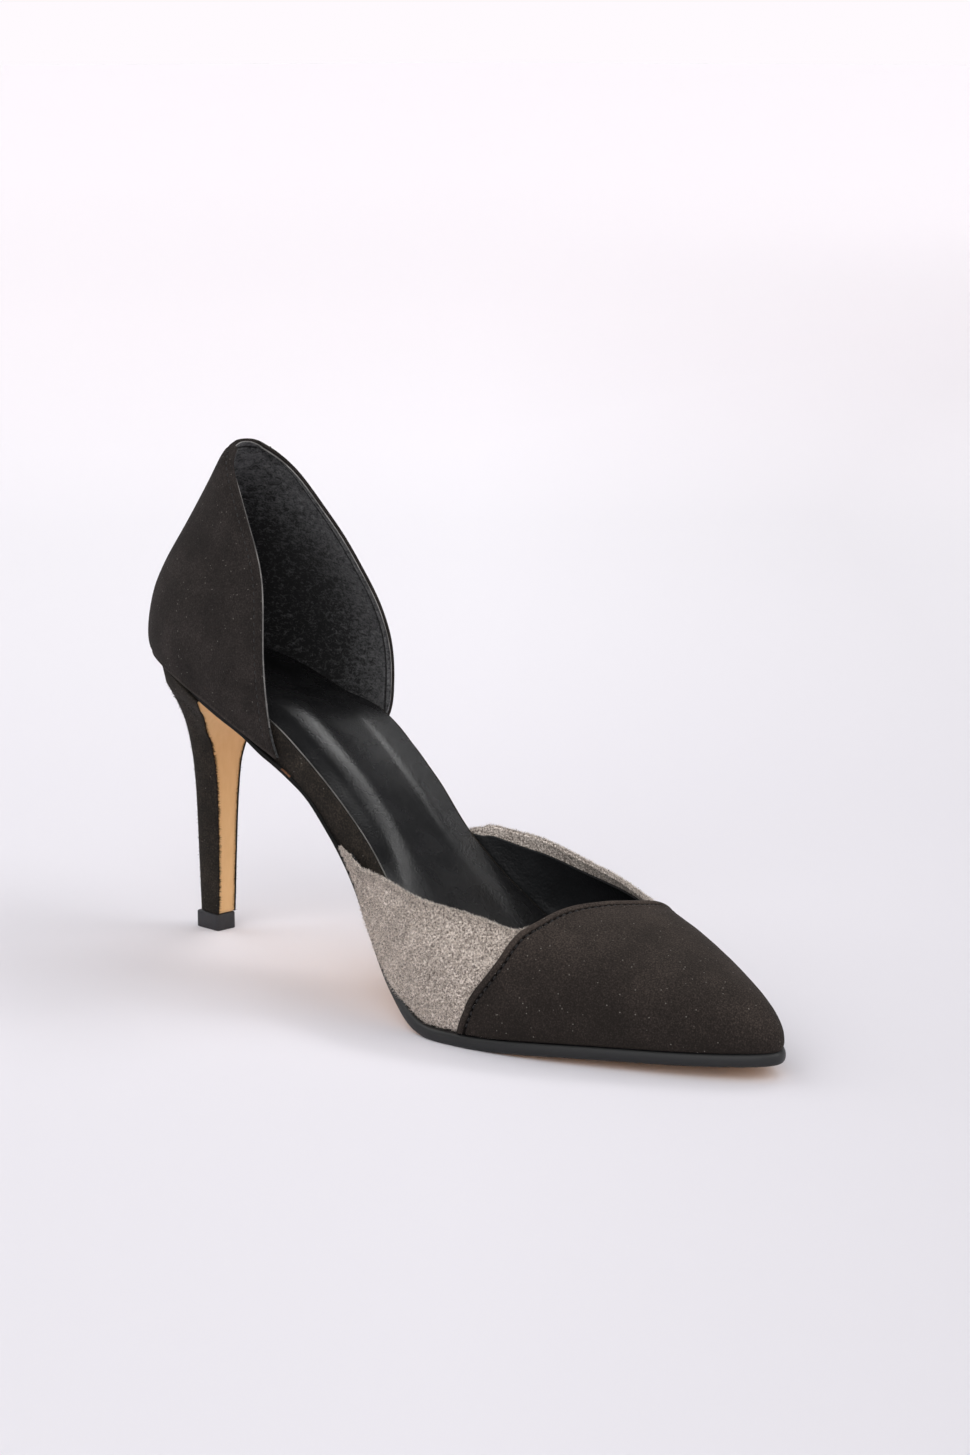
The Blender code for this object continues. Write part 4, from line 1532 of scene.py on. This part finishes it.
@dataclass(frozen=True)
class FootBed(SubAssembly):
    """What the foot stands on: a board wrapped in suede that climbs to the arch, and a leather sock."""

    sock_mm: float = 0.55
    board_mm: float = 0.85
    gap_mm: float = 0.1
    tip_cut_mm: float = 1.2
    lean_mm: float = 1.0
    # How far the sock's inner and outer edges stand in from the board's.
    sock_in_mm: Pair = (0.3, 1.2)
    # Outline angles over which the toe and the heel grow blunt, and over which the shaping starts.
    blunt_rad: Pair = (0.12, 0.2)
    ends_rad: Pair = (0.5, 0.4)
    # Added to the place across on the underside, so that a finish can tell the faces apart.
    under_mark: float = 4.0
    # Shape of the board across the waist: place across, height.
    section_rows: Rows = (
        (-1.0, 0.0), (-0.95, 0.5), (-0.9, 1.05), (-0.84, 1.7), (-0.78, 2.2), (-0.72, 2.5), (-0.65, 2.75),
        (-0.58, 2.9), (-0.52, 2.95), (-0.46, 2.9), (-0.38, 2.65), (-0.27, 2.1), (-0.1, 1.4), (0.1, 0.8),
        (0.3, 0.3), (0.45, 0.0), (0.6, -0.1), (0.8, -0.4), (1.0, -0.9))
    ridge_at: float = 0.54
    ridge_wide: float = 0.07
    ridge_mm: float = 0.16
    # Distance of the board from the outline over x, on the inner and on the outer side.
    insets: tuple[Curve, Curve] = (
        steps((-15.4, 2.8), (20.0, 2.6), (40.0, 2.4), (62.0, 1.0), (84.0, 2.5), (120.0, 4.3)),
        steps((-15.4, 2.8), (20.0, 2.5), (46.0, 2.2), (57.0, 1.0), (70.0, 0.9), (84.0, 1.8), (96.0, 3.0),
              (120.0, 4.3)))
    # Share of the waist's shaping over x: none in the heel cup and in the toe box.
    waist: Curve = steps((2.0, 0.0), (36.0, 1.0), (78.0, 1.0), (104.0, 0.3), (126.0, 0.0))
    # Share of the narrow second ridge over x: it dies away before the vamp.
    ridge_run: Curve = steps((44.0, 0.0), (60.0, 1.0), (72.0, 1.0), (90.0, 0.0))
    # Height of the board's inner edge, over x.
    arch_side: Curve = steps((-15.4, 3.0), (10.0, 3.4), (40.0, 6.6), (71.0, 3.6), (98.0, 8.0),
                             (128.0, 3.0), (216.0, 2.4))
    # How far the wrapped wall runs down past the feather line, over x: to the waist's thin sole.
    foot: Curve = steps((40.0, 0.0), (54.0, 1.2), (64.0, 2.1), (74.0, 3.4), (86.0, 2.2), (100.0, 0.0))
    # Height of the board's outer edge, over x.
    plain_side: Curve = steps((-15.4, 3.0), (28.0, 3.2), (47.0, 6.0), (60.0, 4.5), (68.0, 4.1),
                              (86.0, 3.1), (216.0, 2.4))

    @cached_property
    def section(self) -> Curve:
        """Shape over the waist, from the inner edge at -1 to the outer at 1: roll, dish and border."""
        return spline(*np.array(self.section_rows).T)

    def plan(self, angle: Array, extra: Array | float) -> tuple[Array, Array]:
        """Outline of a layer inside the upper, with its own blunt ends.

        Args:
            angle: outline angles, negative on the inner side.
            extra: distance in from the board's edge in mm, at each angle.

        Returns:
            x and y of its edge.
        """
        side = self.insets[0] if angle[len(angle) // 2] < 0 else self.insets[1]
        toe = LAST.toe_x - side(LAST.toe_x) - self.tip_cut_mm
        back = LAST.back_x + side(LAST.back_x)
        x = (toe + back) / 2 + (toe - back) / 2 * np.cos(angle)
        turn = LAST.turn(x) * np.sign(angle)
        at_toe, at_heel = self.blunt_rad
        blunt = np.tanh(np.abs(angle) / at_toe) * np.tanh((np.pi - np.abs(angle)) / at_heel)
        return x, np.sign(angle) * (np.abs(LAST.half_width(turn)) - side(x) - extra) * blunt

    def height(self, x: Array, across: Array, ends: Array) -> Array:
        """Height of the board: straight from edge to edge, with the shaped section over the waist.

        Args:
            x: lengths in mm.
            across: places across, from -1 at the inner edge to 1 at the outer one.
            ends: share of the shaping, which falls to 0 at the toe and the heel.

        Returns:
            Heights over the feather line in mm.
        """
        plain = self.plain_side(x)
        tilt = (self.arch_side(x) - plain) * (1 - across) / 2
        ridge = bells(across, ((self.ridge_at, self.ridge_wide, self.ridge_mm),)) * self.ridge_run(x)
        return plain + (tilt + self.section(across) * self.waist(x) + ridge) * ends

    def layer(self, extras: Triple, low: float | None, high: float,
              across: Array) -> tuple[Array, Array]:
        """Rings of a layer, between two heights over the board's own shape.

        Args:
            extras: distance in from the board's foot in mm: inner edge, more at its top, outer edge.
            low: height of its underside over the board, or None for the feather line.
            high: height of its top over the board.
            across: shares across, from -1 at the inner edge to 1 at the outer one.

        Returns:
            Rings, and their places across, with the mark added on the underside.
        """
        turns = np.linspace(0.0, np.pi, 240)
        share = (across + 1) / 2
        at_toe, at_heel = self.ends_rad
        ends = np.minimum(1, np.minimum(turns / at_toe, (np.pi - turns) / at_heel))[:, None]
        inner, lean, outer = extras
        faces = []
        for is_top in (True, False):
            leaning = lean * self.waist(LAST.length(turns)) if is_top or low is not None else 0 * turns
            near_x, near_y = self.plan(-turns, inner + leaning)
            far_x, far_y = self.plan(turns, outer)
            x = near_x[:, None] + (far_x - near_x)[:, None] * share
            y = near_y[:, None] + (far_y - near_y)[:, None] * share
            bed = self.height(x, across[None], ends)
            base = -self.foot(x) if low is None and not is_top else bed
            by = base + (high if is_top else low or 0.0)
            faces.append(LAST.bed(x, y, by))
        place = np.repeat(np.r_[across, across[::-1] + self.under_mark][None], len(turns), axis=0)
        return np.concatenate([faces[0], faces[1][:, ::-1]], axis=1), place

    def build(self) -> None:
        """Make the wrapped board and the sock, whose cut edges are pale."""
        across = 2 * graded(60, 44.0, 0.6) - 1
        rings, _ = self.layer((0.0, self.lean_mm, 0.0), None, self.board_mm, across)
        wrap = self.looks.wrap.material()
        self.shop.piece("insole_wrap", Surface.loft(rings), [wrap], "insole_board", "insole_board")
        low = self.board_mm + self.gap_mm
        inner, outer = self.sock_in_mm
        rings, place = self.layer((inner, self.lean_mm, outer), low, low + self.sock_mm, across)
        body = Surface.loft(rings, across=place)
        column = np.arange(len(body.faces)) % rings.shape[1]
        body.paint = ((column == len(across) - 1) | (column == rings.shape[1] - 1)).astype(int)
        paints = [self.looks.sock.material(), self.looks.raw.material()]
        self.shop.piece("sock_leather", body, paints, "sock", "sock")


@dataclass(frozen=True)
class OutSole(SubAssembly):
    """Thin sole: a black rounded edge, a tan underside, and a tongue that runs under the heel seat."""

    tread_mm: float = 3.5
    tongue_x: float = -8.0
    # Roundness of the edge at full thickness: how far its corners stand in, and the power of its curve.
    round_mm: float = 1.35
    round_power: float = 0.7
    # Scraped patch: its ends, and how many rows of faces down the inner edge.
    bare_x: Pair = (53.0, 56.0)
    bare_faces: int = 4
    waist_x: float = 84.0
    # Depth of its upper face under the feather line, over x: above that line at the heel.
    top: Curve = steps((-8.0, -2.1), (8.0, -2.6), (20.0, -2.5), (54.0, 1.0), (64.0, 1.9), (74.0, 3.3),
                       (84.0, 2.3), (104.0, 1.6), (120.0, 0.25))
    # Depth of its underside below the feather line, over x: it lies on the heel, then hangs free.
    under: Curve = steps((-8.0, -1.9), (11.0, -0.9), (16.0, -0.2), (20.0, 0.3), (38.0, 0.7), (48.0, 2.1),
                         (60.0, 2.8), (74.0, 4.3), (88.0, 3.7), (112.0, 3.75))
    # Distance of the edge from the outline, over x: it stands back in the groove over the heel.
    inset: Curve = steps((-8.0, 2.4), (14.0, 2.0), (32.0, 1.5), (44.0, 0.6), (66.0, 0.6), (76.0, 1.0),
                         (92.0, 0.9), (110.0, 0.7), (122.0, 0.0))

    def edge(self, angle: Array, inset: float, depth: float) -> Array:
        """One line along the edge of the sole.

        Args:
            angle: outline angles.
            inset: distance in from the widest line, at full thickness, in mm.
            depth: share of the thickness.

        Returns:
            Points of the line.
        """
        x = LAST.length(angle)
        thick = self.under(x) - self.top(x)
        plan = LAST.outline(angle, self.inset(x) + inset * thick / self.tread_mm)
        low, high = self.under(plan[:, 0]), self.top(plan[:, 0])
        spot = LAST.bed(plan[:, 0], plan[:, 1], -high - depth * (low - high))
        spot[:, 2] = np.maximum(spot[:, 2], 0.0)
        return spot

    def build(self) -> None:
        """Make the sole from rings across it, black at the edge and tan below."""
        turns = np.linspace(0, LAST.turn(self.tongue_x), 260)
        phi = np.linspace(0, np.pi, 13)
        inset = self.round_mm * (1 - np.sin(phi) ** self.round_power)
        depth = (1 - np.cos(phi)) / 2
        near = [self.edge(-turns, i, d) for i, d in zip(inset, depth)]
        far = [self.edge(turns, i, d) for i, d in zip(inset[::-1], depth[::-1])]
        share = np.linspace(0, 1, 14)[1:-1]
        low = [near[-1] + (far[0] - near[-1]) * s for s in share]
        high = [far[-1] + (near[0] - far[-1]) * s for s in share]
        rings = np.stack(near + low + far + high, axis=1)
        body = Surface.loft(rings)
        column = np.arange(len(body.faces)) % rings.shape[1]
        under = (column >= len(near) - 1) & (column < len(near) + len(low))
        middle_x = body.points[body.faces][..., 0].mean(1)
        start, end = self.bare_x
        bare = (column < self.bare_faces) & (middle_x > start) & (middle_x < end)
        waist = ~under & ~bare & (middle_x < self.waist_x)
        body.paint = under + 2 * bare + 3 * waist
        looks = self.looks
        paints = [look.material() for look in (looks.edge, looks.tan, looks.bare, looks.waist)]
        self.shop.piece("sole", body, paints, "outsole", "outsole")


@dataclass(frozen=True)
class Heel(SubAssembly):
    """Slim heel: a suede wrap folded round the breast, a tan breast face and a moulded top piece."""

    # Sections from the seat down: height at x 0, pitch, back x, breast x, half width at the breast.
    section_rows: Rows = (
        (74.0, -0.24, -11.4, 17.2, 17.2), (68.4, -0.16, -10.2, 11.6, 12.4), (62.4, -0.08, -9.0, 7.8, 8.6),
        (56.0, 0.0, -8.2, 5.8, 6.3), (48.0, 0.0, -7.6, 5.2, 4.9), (38.0, 0.0, -7.2, 4.9, 4.1),
        (26.0, 0.0, -6.9, 4.5, 3.7), (15.0, 0.0, -6.5, 4.1, 3.5), (5.3, 0.0, -6.1, 3.7, 3.4))
    seat_front_x: float = 18.0
    # Half turn of a section from its back to a corner of the breast, and the power that rounds it.
    turn_deg: float = 112.0
    side_power: float = 0.72
    # Shoulder under the cup: how far its rings stand in and down from the seat.
    shoulder_rows: Rows = ((0.6, 0.0), (0.2, 0.08), (0.0, 0.35))
    fold_mm: float = 0.42
    # Lip of the wrap on the breast: shares of the fold inwards and forwards.
    lip_rows: Rows = ((0.3, 0.16), (0.75, 0.16), (1.0, -0.1), (1.05, -0.9))
    # Breast face: share of its half width, and how far it dips there.
    breast_rows: Rows = (
        (-1.0, 0.12), (-0.96, 0.0), (-0.5, 0.0), (0.0, 0.0), (0.5, 0.0), (0.96, 0.0), (1.0, 0.12))
    breast_in_mm: float = 0.1
    breast_mm: float = 0.6
    # Short fibres over the wrap: first ring, count for each square mm, length and thickness.
    fuzz_ring: int = 4
    fuzz_mm2: float = 2.2
    fuzz_mm: Pair = (0.25, 0.55)
    fuzz_thick_mm: float = 0.1
    # Ragged fibres along each edge of the breast: first ring, count, length and thickness.
    ragged_ring: int = 18
    ragged_count: int = 540
    ragged_mm: Pair = (0.3, 1.2)
    ragged_thick_mm: float = 0.16
    # Top piece: height, distance of its middle behind x 0, and the power that squares its outline.
    tip_high: float = 5.0
    tip_mid: float = 1.2
    tip_power: float = 16.0
    # Depth of the heel's top under the feather line, over x: above that line at the back.
    seat_drop: Curve = steps((-14.0, -2.0), (-8.0, -1.85), (11.0, -0.85), (18.0, 0.0))
    # Distance of the heel's top from the outline, over x: flush at the back.
    seat_in: Curve = steps((-14.0, 0.4), (6.0, 0.8), (18.0, 1.5))
    # Share by which the breast's corners spread, over the way down: they run out to the seat.
    flare: Curve = steps((0.0, 0.19), (0.12, 0.17), (0.25, 0.25), (0.375, 0.08), (0.48, 0.0))

    @cached_property
    def columns(self) -> list[Curve]:
        """Columns of the heel's sections over the share of the way down."""
        rows = np.array(self.section_rows)
        return [spline(np.linspace(0, 1, len(rows)), column) for column in rows.T]

    def seat(self, turn: Array, last: float, inset: float, drop: float) -> Array:
        """Ring of the heel's top under the cup.

        Args:
            turn: turns of the ring's points from the back.
            last: turn of the breast's corners.
            inset: how far the ring is moved in, in mm.
            drop: how far it is moved down, in mm.

        Returns:
            Points of the ring.
        """
        end = LAST.turn(self.seat_front_x)
        around = np.pi - turn / last * (np.pi - end)
        plan = LAST.outline(around, self.seat_in(LAST.length(around)) + inset)
        return LAST.bed(plan[:, 0], plan[:, 1], -self.seat_drop(plan[:, 0]) - drop)

    def rings(self) -> tuple[Array, Array, Array]:
        """Rings of the wrap: a rounded back, two sides, and lips folded over the breast.

        Returns:
            Rings of points, and the near and far corners of the breast for each ring.
        """
        last = np.radians(self.turn_deg)
        turn = np.linspace(-last, last, 81)
        share = np.linspace(0, 1, 90)[:, None]
        high, pitch, back, front, half = [f(share) for f in self.columns]
        x = back + (front - back) * (1 - np.cos(turn)) / (1 - np.cos(last))
        spread = 1 + self.flare(share) * ramp(np.abs(turn) / last, 0.7, 1.0) ** 1.5
        wide = (np.abs(np.sin(turn)) / np.sin(last)) ** self.side_power
        body = np.stack([x, np.sign(turn) * half * wide * spread, high + pitch * x], -1)
        shoulder = [self.seat(turn, last, inset, drop) for inset, drop in self.shoulder_rows]
        whole = np.concatenate([np.stack(shoulder), body])
        near, far = whole[:, 0], whole[:, -1]
        inward = unit(far - near) * self.fold_mm
        ahead = np.array([1.0, 0.0, -0.15]) * self.fold_mm
        near_lip = [near + inward * i + ahead * a for i, a in self.lip_rows]
        far_lip = [far - inward * i + ahead * a for i, a in self.lip_rows]
        return np.concatenate([whole, np.stack(far_lip + near_lip[::-1], 1)], axis=1), near, far

    def build_breast(self, near: Array, far: Array) -> None:
        """Make the breast face: a thin plate between the lips of the wrap.

        Args:
            near: inner corners of the breast.
            far: outer corners of the breast.
        """
        share, dip = np.array(self.breast_rows).T[:, None, :, None]
        half = (np.linalg.norm(far - near, axis=1) / 2 - self.fold_mm * 0.95)[:, None, None]
        ahead = np.array([1.0, 0.0, -0.1])
        across = unit(far - near)[:, None] * half * share
        face = (near + far)[:, None] / 2 + across - ahead * (self.breast_in_mm + dip)
        back = face - ahead * self.breast_mm
        plate = Surface.loft(np.concatenate([face, back[:, ::-1]], axis=1))
        self.shop.piece("breast_face", plate, [self.looks.tan.material()], "breast_cover", "breast_cover")

    def build_fuzz(self, rings: Array, near: Array, far: Array, paint: Material) -> None:
        """Let short fibres stand off the wrap, and a ragged row of them reach over the breast's edges.

        Args:
            rings: rings of the wrap.
            near: inner corners of the breast.
            far: outer corners of the breast.
            paint: the wrap's material.
        """
        rng = np.random.default_rng(11)
        body = rings[self.fuzz_ring:]
        out = body - (body.mean(1) + (0.5, 0, 0))[:, None]
        out[..., 2] *= 0.1
        pick = sow(body, np.full(body.shape[:2], self.fuzz_mm2), rng)
        roots = body.reshape(-1, 3)[pick] + rng.normal(0, 0.12, (len(pick), 3))
        lean = unit(out).reshape(-1, 3)[pick] * 0.5 + rng.normal(0, 0.45, (len(pick), 3)) - (0, 0, 0.4)
        length = rng.uniform(*self.fuzz_mm, len(pick))
        parts = [fibres(roots, lean, length, self.fuzz_thick_mm, np.zeros(len(pick)))]
        near, far = near[self.ragged_ring:], far[self.ragged_ring:]
        for line, across in ((near, far - near), (far, near - far)):
            spot = np.sort(rng.uniform(0, len(line) - 1, self.ragged_count))
            reach = between(unit(across), spot)
            root = between(line, spot) + reach * self.fold_mm * 0.8 + (0.05, 0, 0)
            lean = reach + rng.normal(0, 0.4, root.shape) + (0.15, 0, -0.25)
            length = rng.uniform(*self.ragged_mm, len(root))
            parts.append(fibres(root, lean, length, self.ragged_thick_mm, np.full(len(root), -0.1)))
        self.shop.piece("heel_fuzz", Surface.join(parts), [paint], "heel_block")

    def build_tip(self) -> None:
        """Make the top piece: a rounded rectangle carried up, with eased edges and a waist on top."""
        _, _, back, front, half = self.section_rows[-1]
        size_x, size_y = front - back - 0.3, 2 * half + 0.1
        turn = np.linspace(0, 2 * np.pi, 96, endpoint=False)
        power = self.tip_power
        corner = (np.abs(np.cos(turn)) ** power + np.abs(np.sin(turn)) ** power) ** (-1 / power)
        x, y = corner * np.cos(turn), corner * np.sin(turn)
        top = self.tip_high
        # Height and inset of the rings, from the floor up.
        profile = ((0.0, 0.2), (0.06, 0.06), (0.2, 0.0), (top - 0.4, 0.0), (top - 0.15, 0.1),
                   (top, 0.35), (top, 0.8), (top + 0.28, 0.85))
        rings = [np.stack([x * (size_x / 2 - inset) - self.tip_mid, y * (size_y / 2 - inset),
                           np.full_like(x, z)], -1) for z, inset in profile]
        rubber = self.looks.tip.material()
        self.shop.piece("heel_tip", Surface.loft(np.stack(rings)), [rubber], "top_piece", "top_piece")

    def build(self) -> None:
        """Make the wrap, the breast face and the top piece."""
        rings, near, far = self.rings()
        wrap = self.looks.wrap.material()
        self.shop.piece("heel_wrap", Surface.loft(rings), [wrap], "heel_block", "heel_block")
        self.build_fuzz(rings, near, far, wrap)
        self.build_breast(near, far)
        self.build_tip()


@dataclass(frozen=True)
class Studio:
    """Pale floor, soft lights and the camera."""

    view_deg: Pair = (45.0, 11.3)
    camera_mm: Triple = (751.6, -640.4, 256.9)
    lens_mm: float = 85.0
    film_mm: float = 36.0
    clip_m: float = 100.0
    floor_m: float = 60.0
    # Colours of the floor from the shoe outwards, and the glow that lifts it to the surround far off: painted
    # light, brighter away from the shoe.
    floor_stops: tuple[tuple[float, str], ...] = ((0.0, "#ece9ef"), (0.55, "#f0edf2"), (1.0, "#fff9fe"))
    floor_glow: str = "#fff8fe"
    # Way along which the floor beside the shoe falls into shade.
    shade_way: Triple = (0.707, 0.707, 0.0)
    # Colours of the surround, above and along the horizon.
    world_stops: tuple[tuple[float, str], ...] = ((0.0, "#606062"), (1.0, "#fffafe"))
    # Broad lamps: name, turn from the front to the right, height and width in degrees, power.
    lamps: tuple[tuple[str, float, float, float, float], ...] = (
        ("key", 120.0, 38.0, 50.0, 1.2), ("right", 60.0, 40.0, 54.0, 0.45),
        ("front", 20.0, 38.0, 60.0, 1.15), ("left", 285.0, 42.0, 54.0, 0.95))
    # Long lamp behind the shoe, which draws the bright line on the sock.
    strip_turn_deg: Pair = (180.0, 54.5)
    strip_away_m: float = 1.72
    strip_aside_m: float = -0.2
    strip_m: Pair = (1.05, 0.34)
    strip_watt: float = 6.0

    def camera(self, shop: Shop) -> None:
        """Place the camera, with the film's long side upright.

        Args:
            shop: knows where the shoe's own frame lies.
        """
        data = bpy.data.cameras.new("camera")
        data.lens = self.lens_mm
        data.sensor_fit = "VERTICAL"
        data.sensor_height = self.film_mm
        data.sensor_width = self.film_mm * PHOTO_PX[0] / PHOTO_PX[1]
        data.clip_end = self.clip_m
        made = bpy.data.objects.new("camera", data)
        made.location = shop.place(np.array(self.camera_mm))
        azimuth, tilt = self.view_deg
        made.rotation_euler = (math.radians(90 - tilt), 0, math.radians(azimuth))
        bpy.context.scene.collection.objects.link(made)
        bpy.context.scene.camera = made

    def floor_paint(self) -> Material:
        """Pale matt paint with painted light: it grows lighter and glows away from the shoe, over one part in
        one plus the distance, with painted shade beside the shoe.

        Returns:
            The material.
        """
        paint, tree, where = blank("pale_floor")
        reach = add(tree, "VectorMath", {"operation": "LENGTH"}, _0=where).outputs["Value"]
        away = add(tree, "Math", {"operation": "ADD", 1: 1.0}, _0=reach)
        near = add(tree, "Math", {"operation": "DIVIDE", 0: 1.0}, _1=away)
        share = add(tree, "MapRange", {"From Min": 0.77, "From Max": 0.3}, Value=near)
        tone = add(tree, "ValToRGB", {"stops": self.floor_stops}, Fac=share)
        way = {"operation": "DOT_PRODUCT", 1: self.shade_way}
        aside = add(tree, "VectorMath", way, _0=where).outputs["Value"]
        close = add(tree, "MapRange", {"From Min": 0.2, "From Max": 0.5}, Value=near)
        beside = add(tree, "Math", {"operation": "MULTIPLY"}, _0=aside, _1=close)
        fall = add(tree, "MapRange", {"From Max": 0.2, "To Min": 1.0, "To Max": 0.88}, Value=beside)
        shaded = add(tree, "VectorMath", {"operation": "SCALE"}, _0=tone, Scale=fall)
        glow = add(tree, "MapRange", {"From Min": 0.55, "From Max": 0.15, "To Max": 0.13}, Value=near)
        matt = {"Roughness": 0.9, "Specular IOR Level": 0.1, "Emission Color": linear(self.floor_glow)}
        shader = add(tree, "BsdfPrincipled", matt, Base_Color=shaded, Emission_Strength=glow)
        add(tree, "OutputMaterial", Surface=shader)
        return paint

    def floor(self) -> None:
        """Lay a wide pale floor."""
        mesh = bpy.data.meshes.new("floor")
        corners = np.array([(-1, -1, 0), (1, -1, 0), (1, 1, 0), (-1, 1, 0)]) * self.floor_m / 2
        mesh.from_pydata(corners.tolist(), [], [[0, 1, 2, 3]])
        mesh.materials.append(self.floor_paint())
        made = bpy.data.objects.new("floor", mesh)
        bpy.context.scene.collection.objects.link(made)

    @staticmethod
    def hang(data: bpy.types.Light, turn: float, rise: float) -> bpy.types.Object:
        """Hang a lamp that shines towards the shoe.

        Args:
            data: the lamp.
            turn: turn from the front to the right, in degrees.
            rise: height in degrees.

        Returns:
            The new object.
        """
        made = bpy.data.objects.new(data.name, data)
        made.rotation_euler = (math.radians(90 - rise), 0, math.radians(turn))
        bpy.context.scene.collection.objects.link(made)
        return made

    def world(self) -> None:
        """Surround the set with light that dims upwards."""
        made = bpy.data.worlds.new("studio")
        made.use_nodes = True
        tree = made.node_tree
        tree.nodes.clear()
        where = add(tree, "TexCoord").outputs["Generated"]
        high = add(tree, "SeparateXYZ", Vector=where).outputs["Z"]
        fall = {"From Min": 0.1, "From Max": 0.2, "To Min": 1.0, "To Max": 0.0}
        low = add(tree, "MapRange", fall, Value=high)
        tone = add(tree, "ValToRGB", {"stops": self.world_stops}, Fac=low)
        back = add(tree, "Background", {"Strength": 1.0}, Color=tone)
        add(tree, "OutputWorld", Surface=back)
        bpy.context.scene.world = made

    def light(self) -> None:
        """Hang broad lamps high up, too far off to fall away, and the long one behind the shoe."""
        for name, turn, rise, wide, power in self.lamps:
            data = bpy.data.lights.new(name, "SUN")
            data.energy = power
            data.angle = math.radians(wide)
            self.hang(data, turn, rise)
        data = bpy.data.lights.new("strip", "AREA")
        data.energy = self.strip_watt
        data.shape = "RECTANGLE"
        data.size, data.size_y = self.strip_m
        turn, rise = self.strip_turn_deg
        made = self.hang(data, turn, rise)
        flat = self.strip_away_m * math.cos(math.radians(rise))
        made.location = (self.strip_aside_m, flat, self.strip_away_m * math.sin(math.radians(rise)))

    def build(self, shop: Shop) -> None:
        """Set the stage.

        Args:
            shop: knows where the shoe's own frame lies.
        """
        self.camera(shop)
        self.floor()
        self.world()
        self.light()
        bpy.context.scene.view_settings.view_transform = "Standard"


def main() -> None:
    """Build the shoe, part by part, and the studio round it."""
    logging.basicConfig(level=logging.INFO, format="%(name)s %(message)s")
    shop = Shop()
    looks = Finishes()
    Studio().build(shop)
    for part in (Vamp, HeelCup, FootBed, OutSole, Heel):
        part(shop, looks).build()


if __name__ == "__main__":
    main()
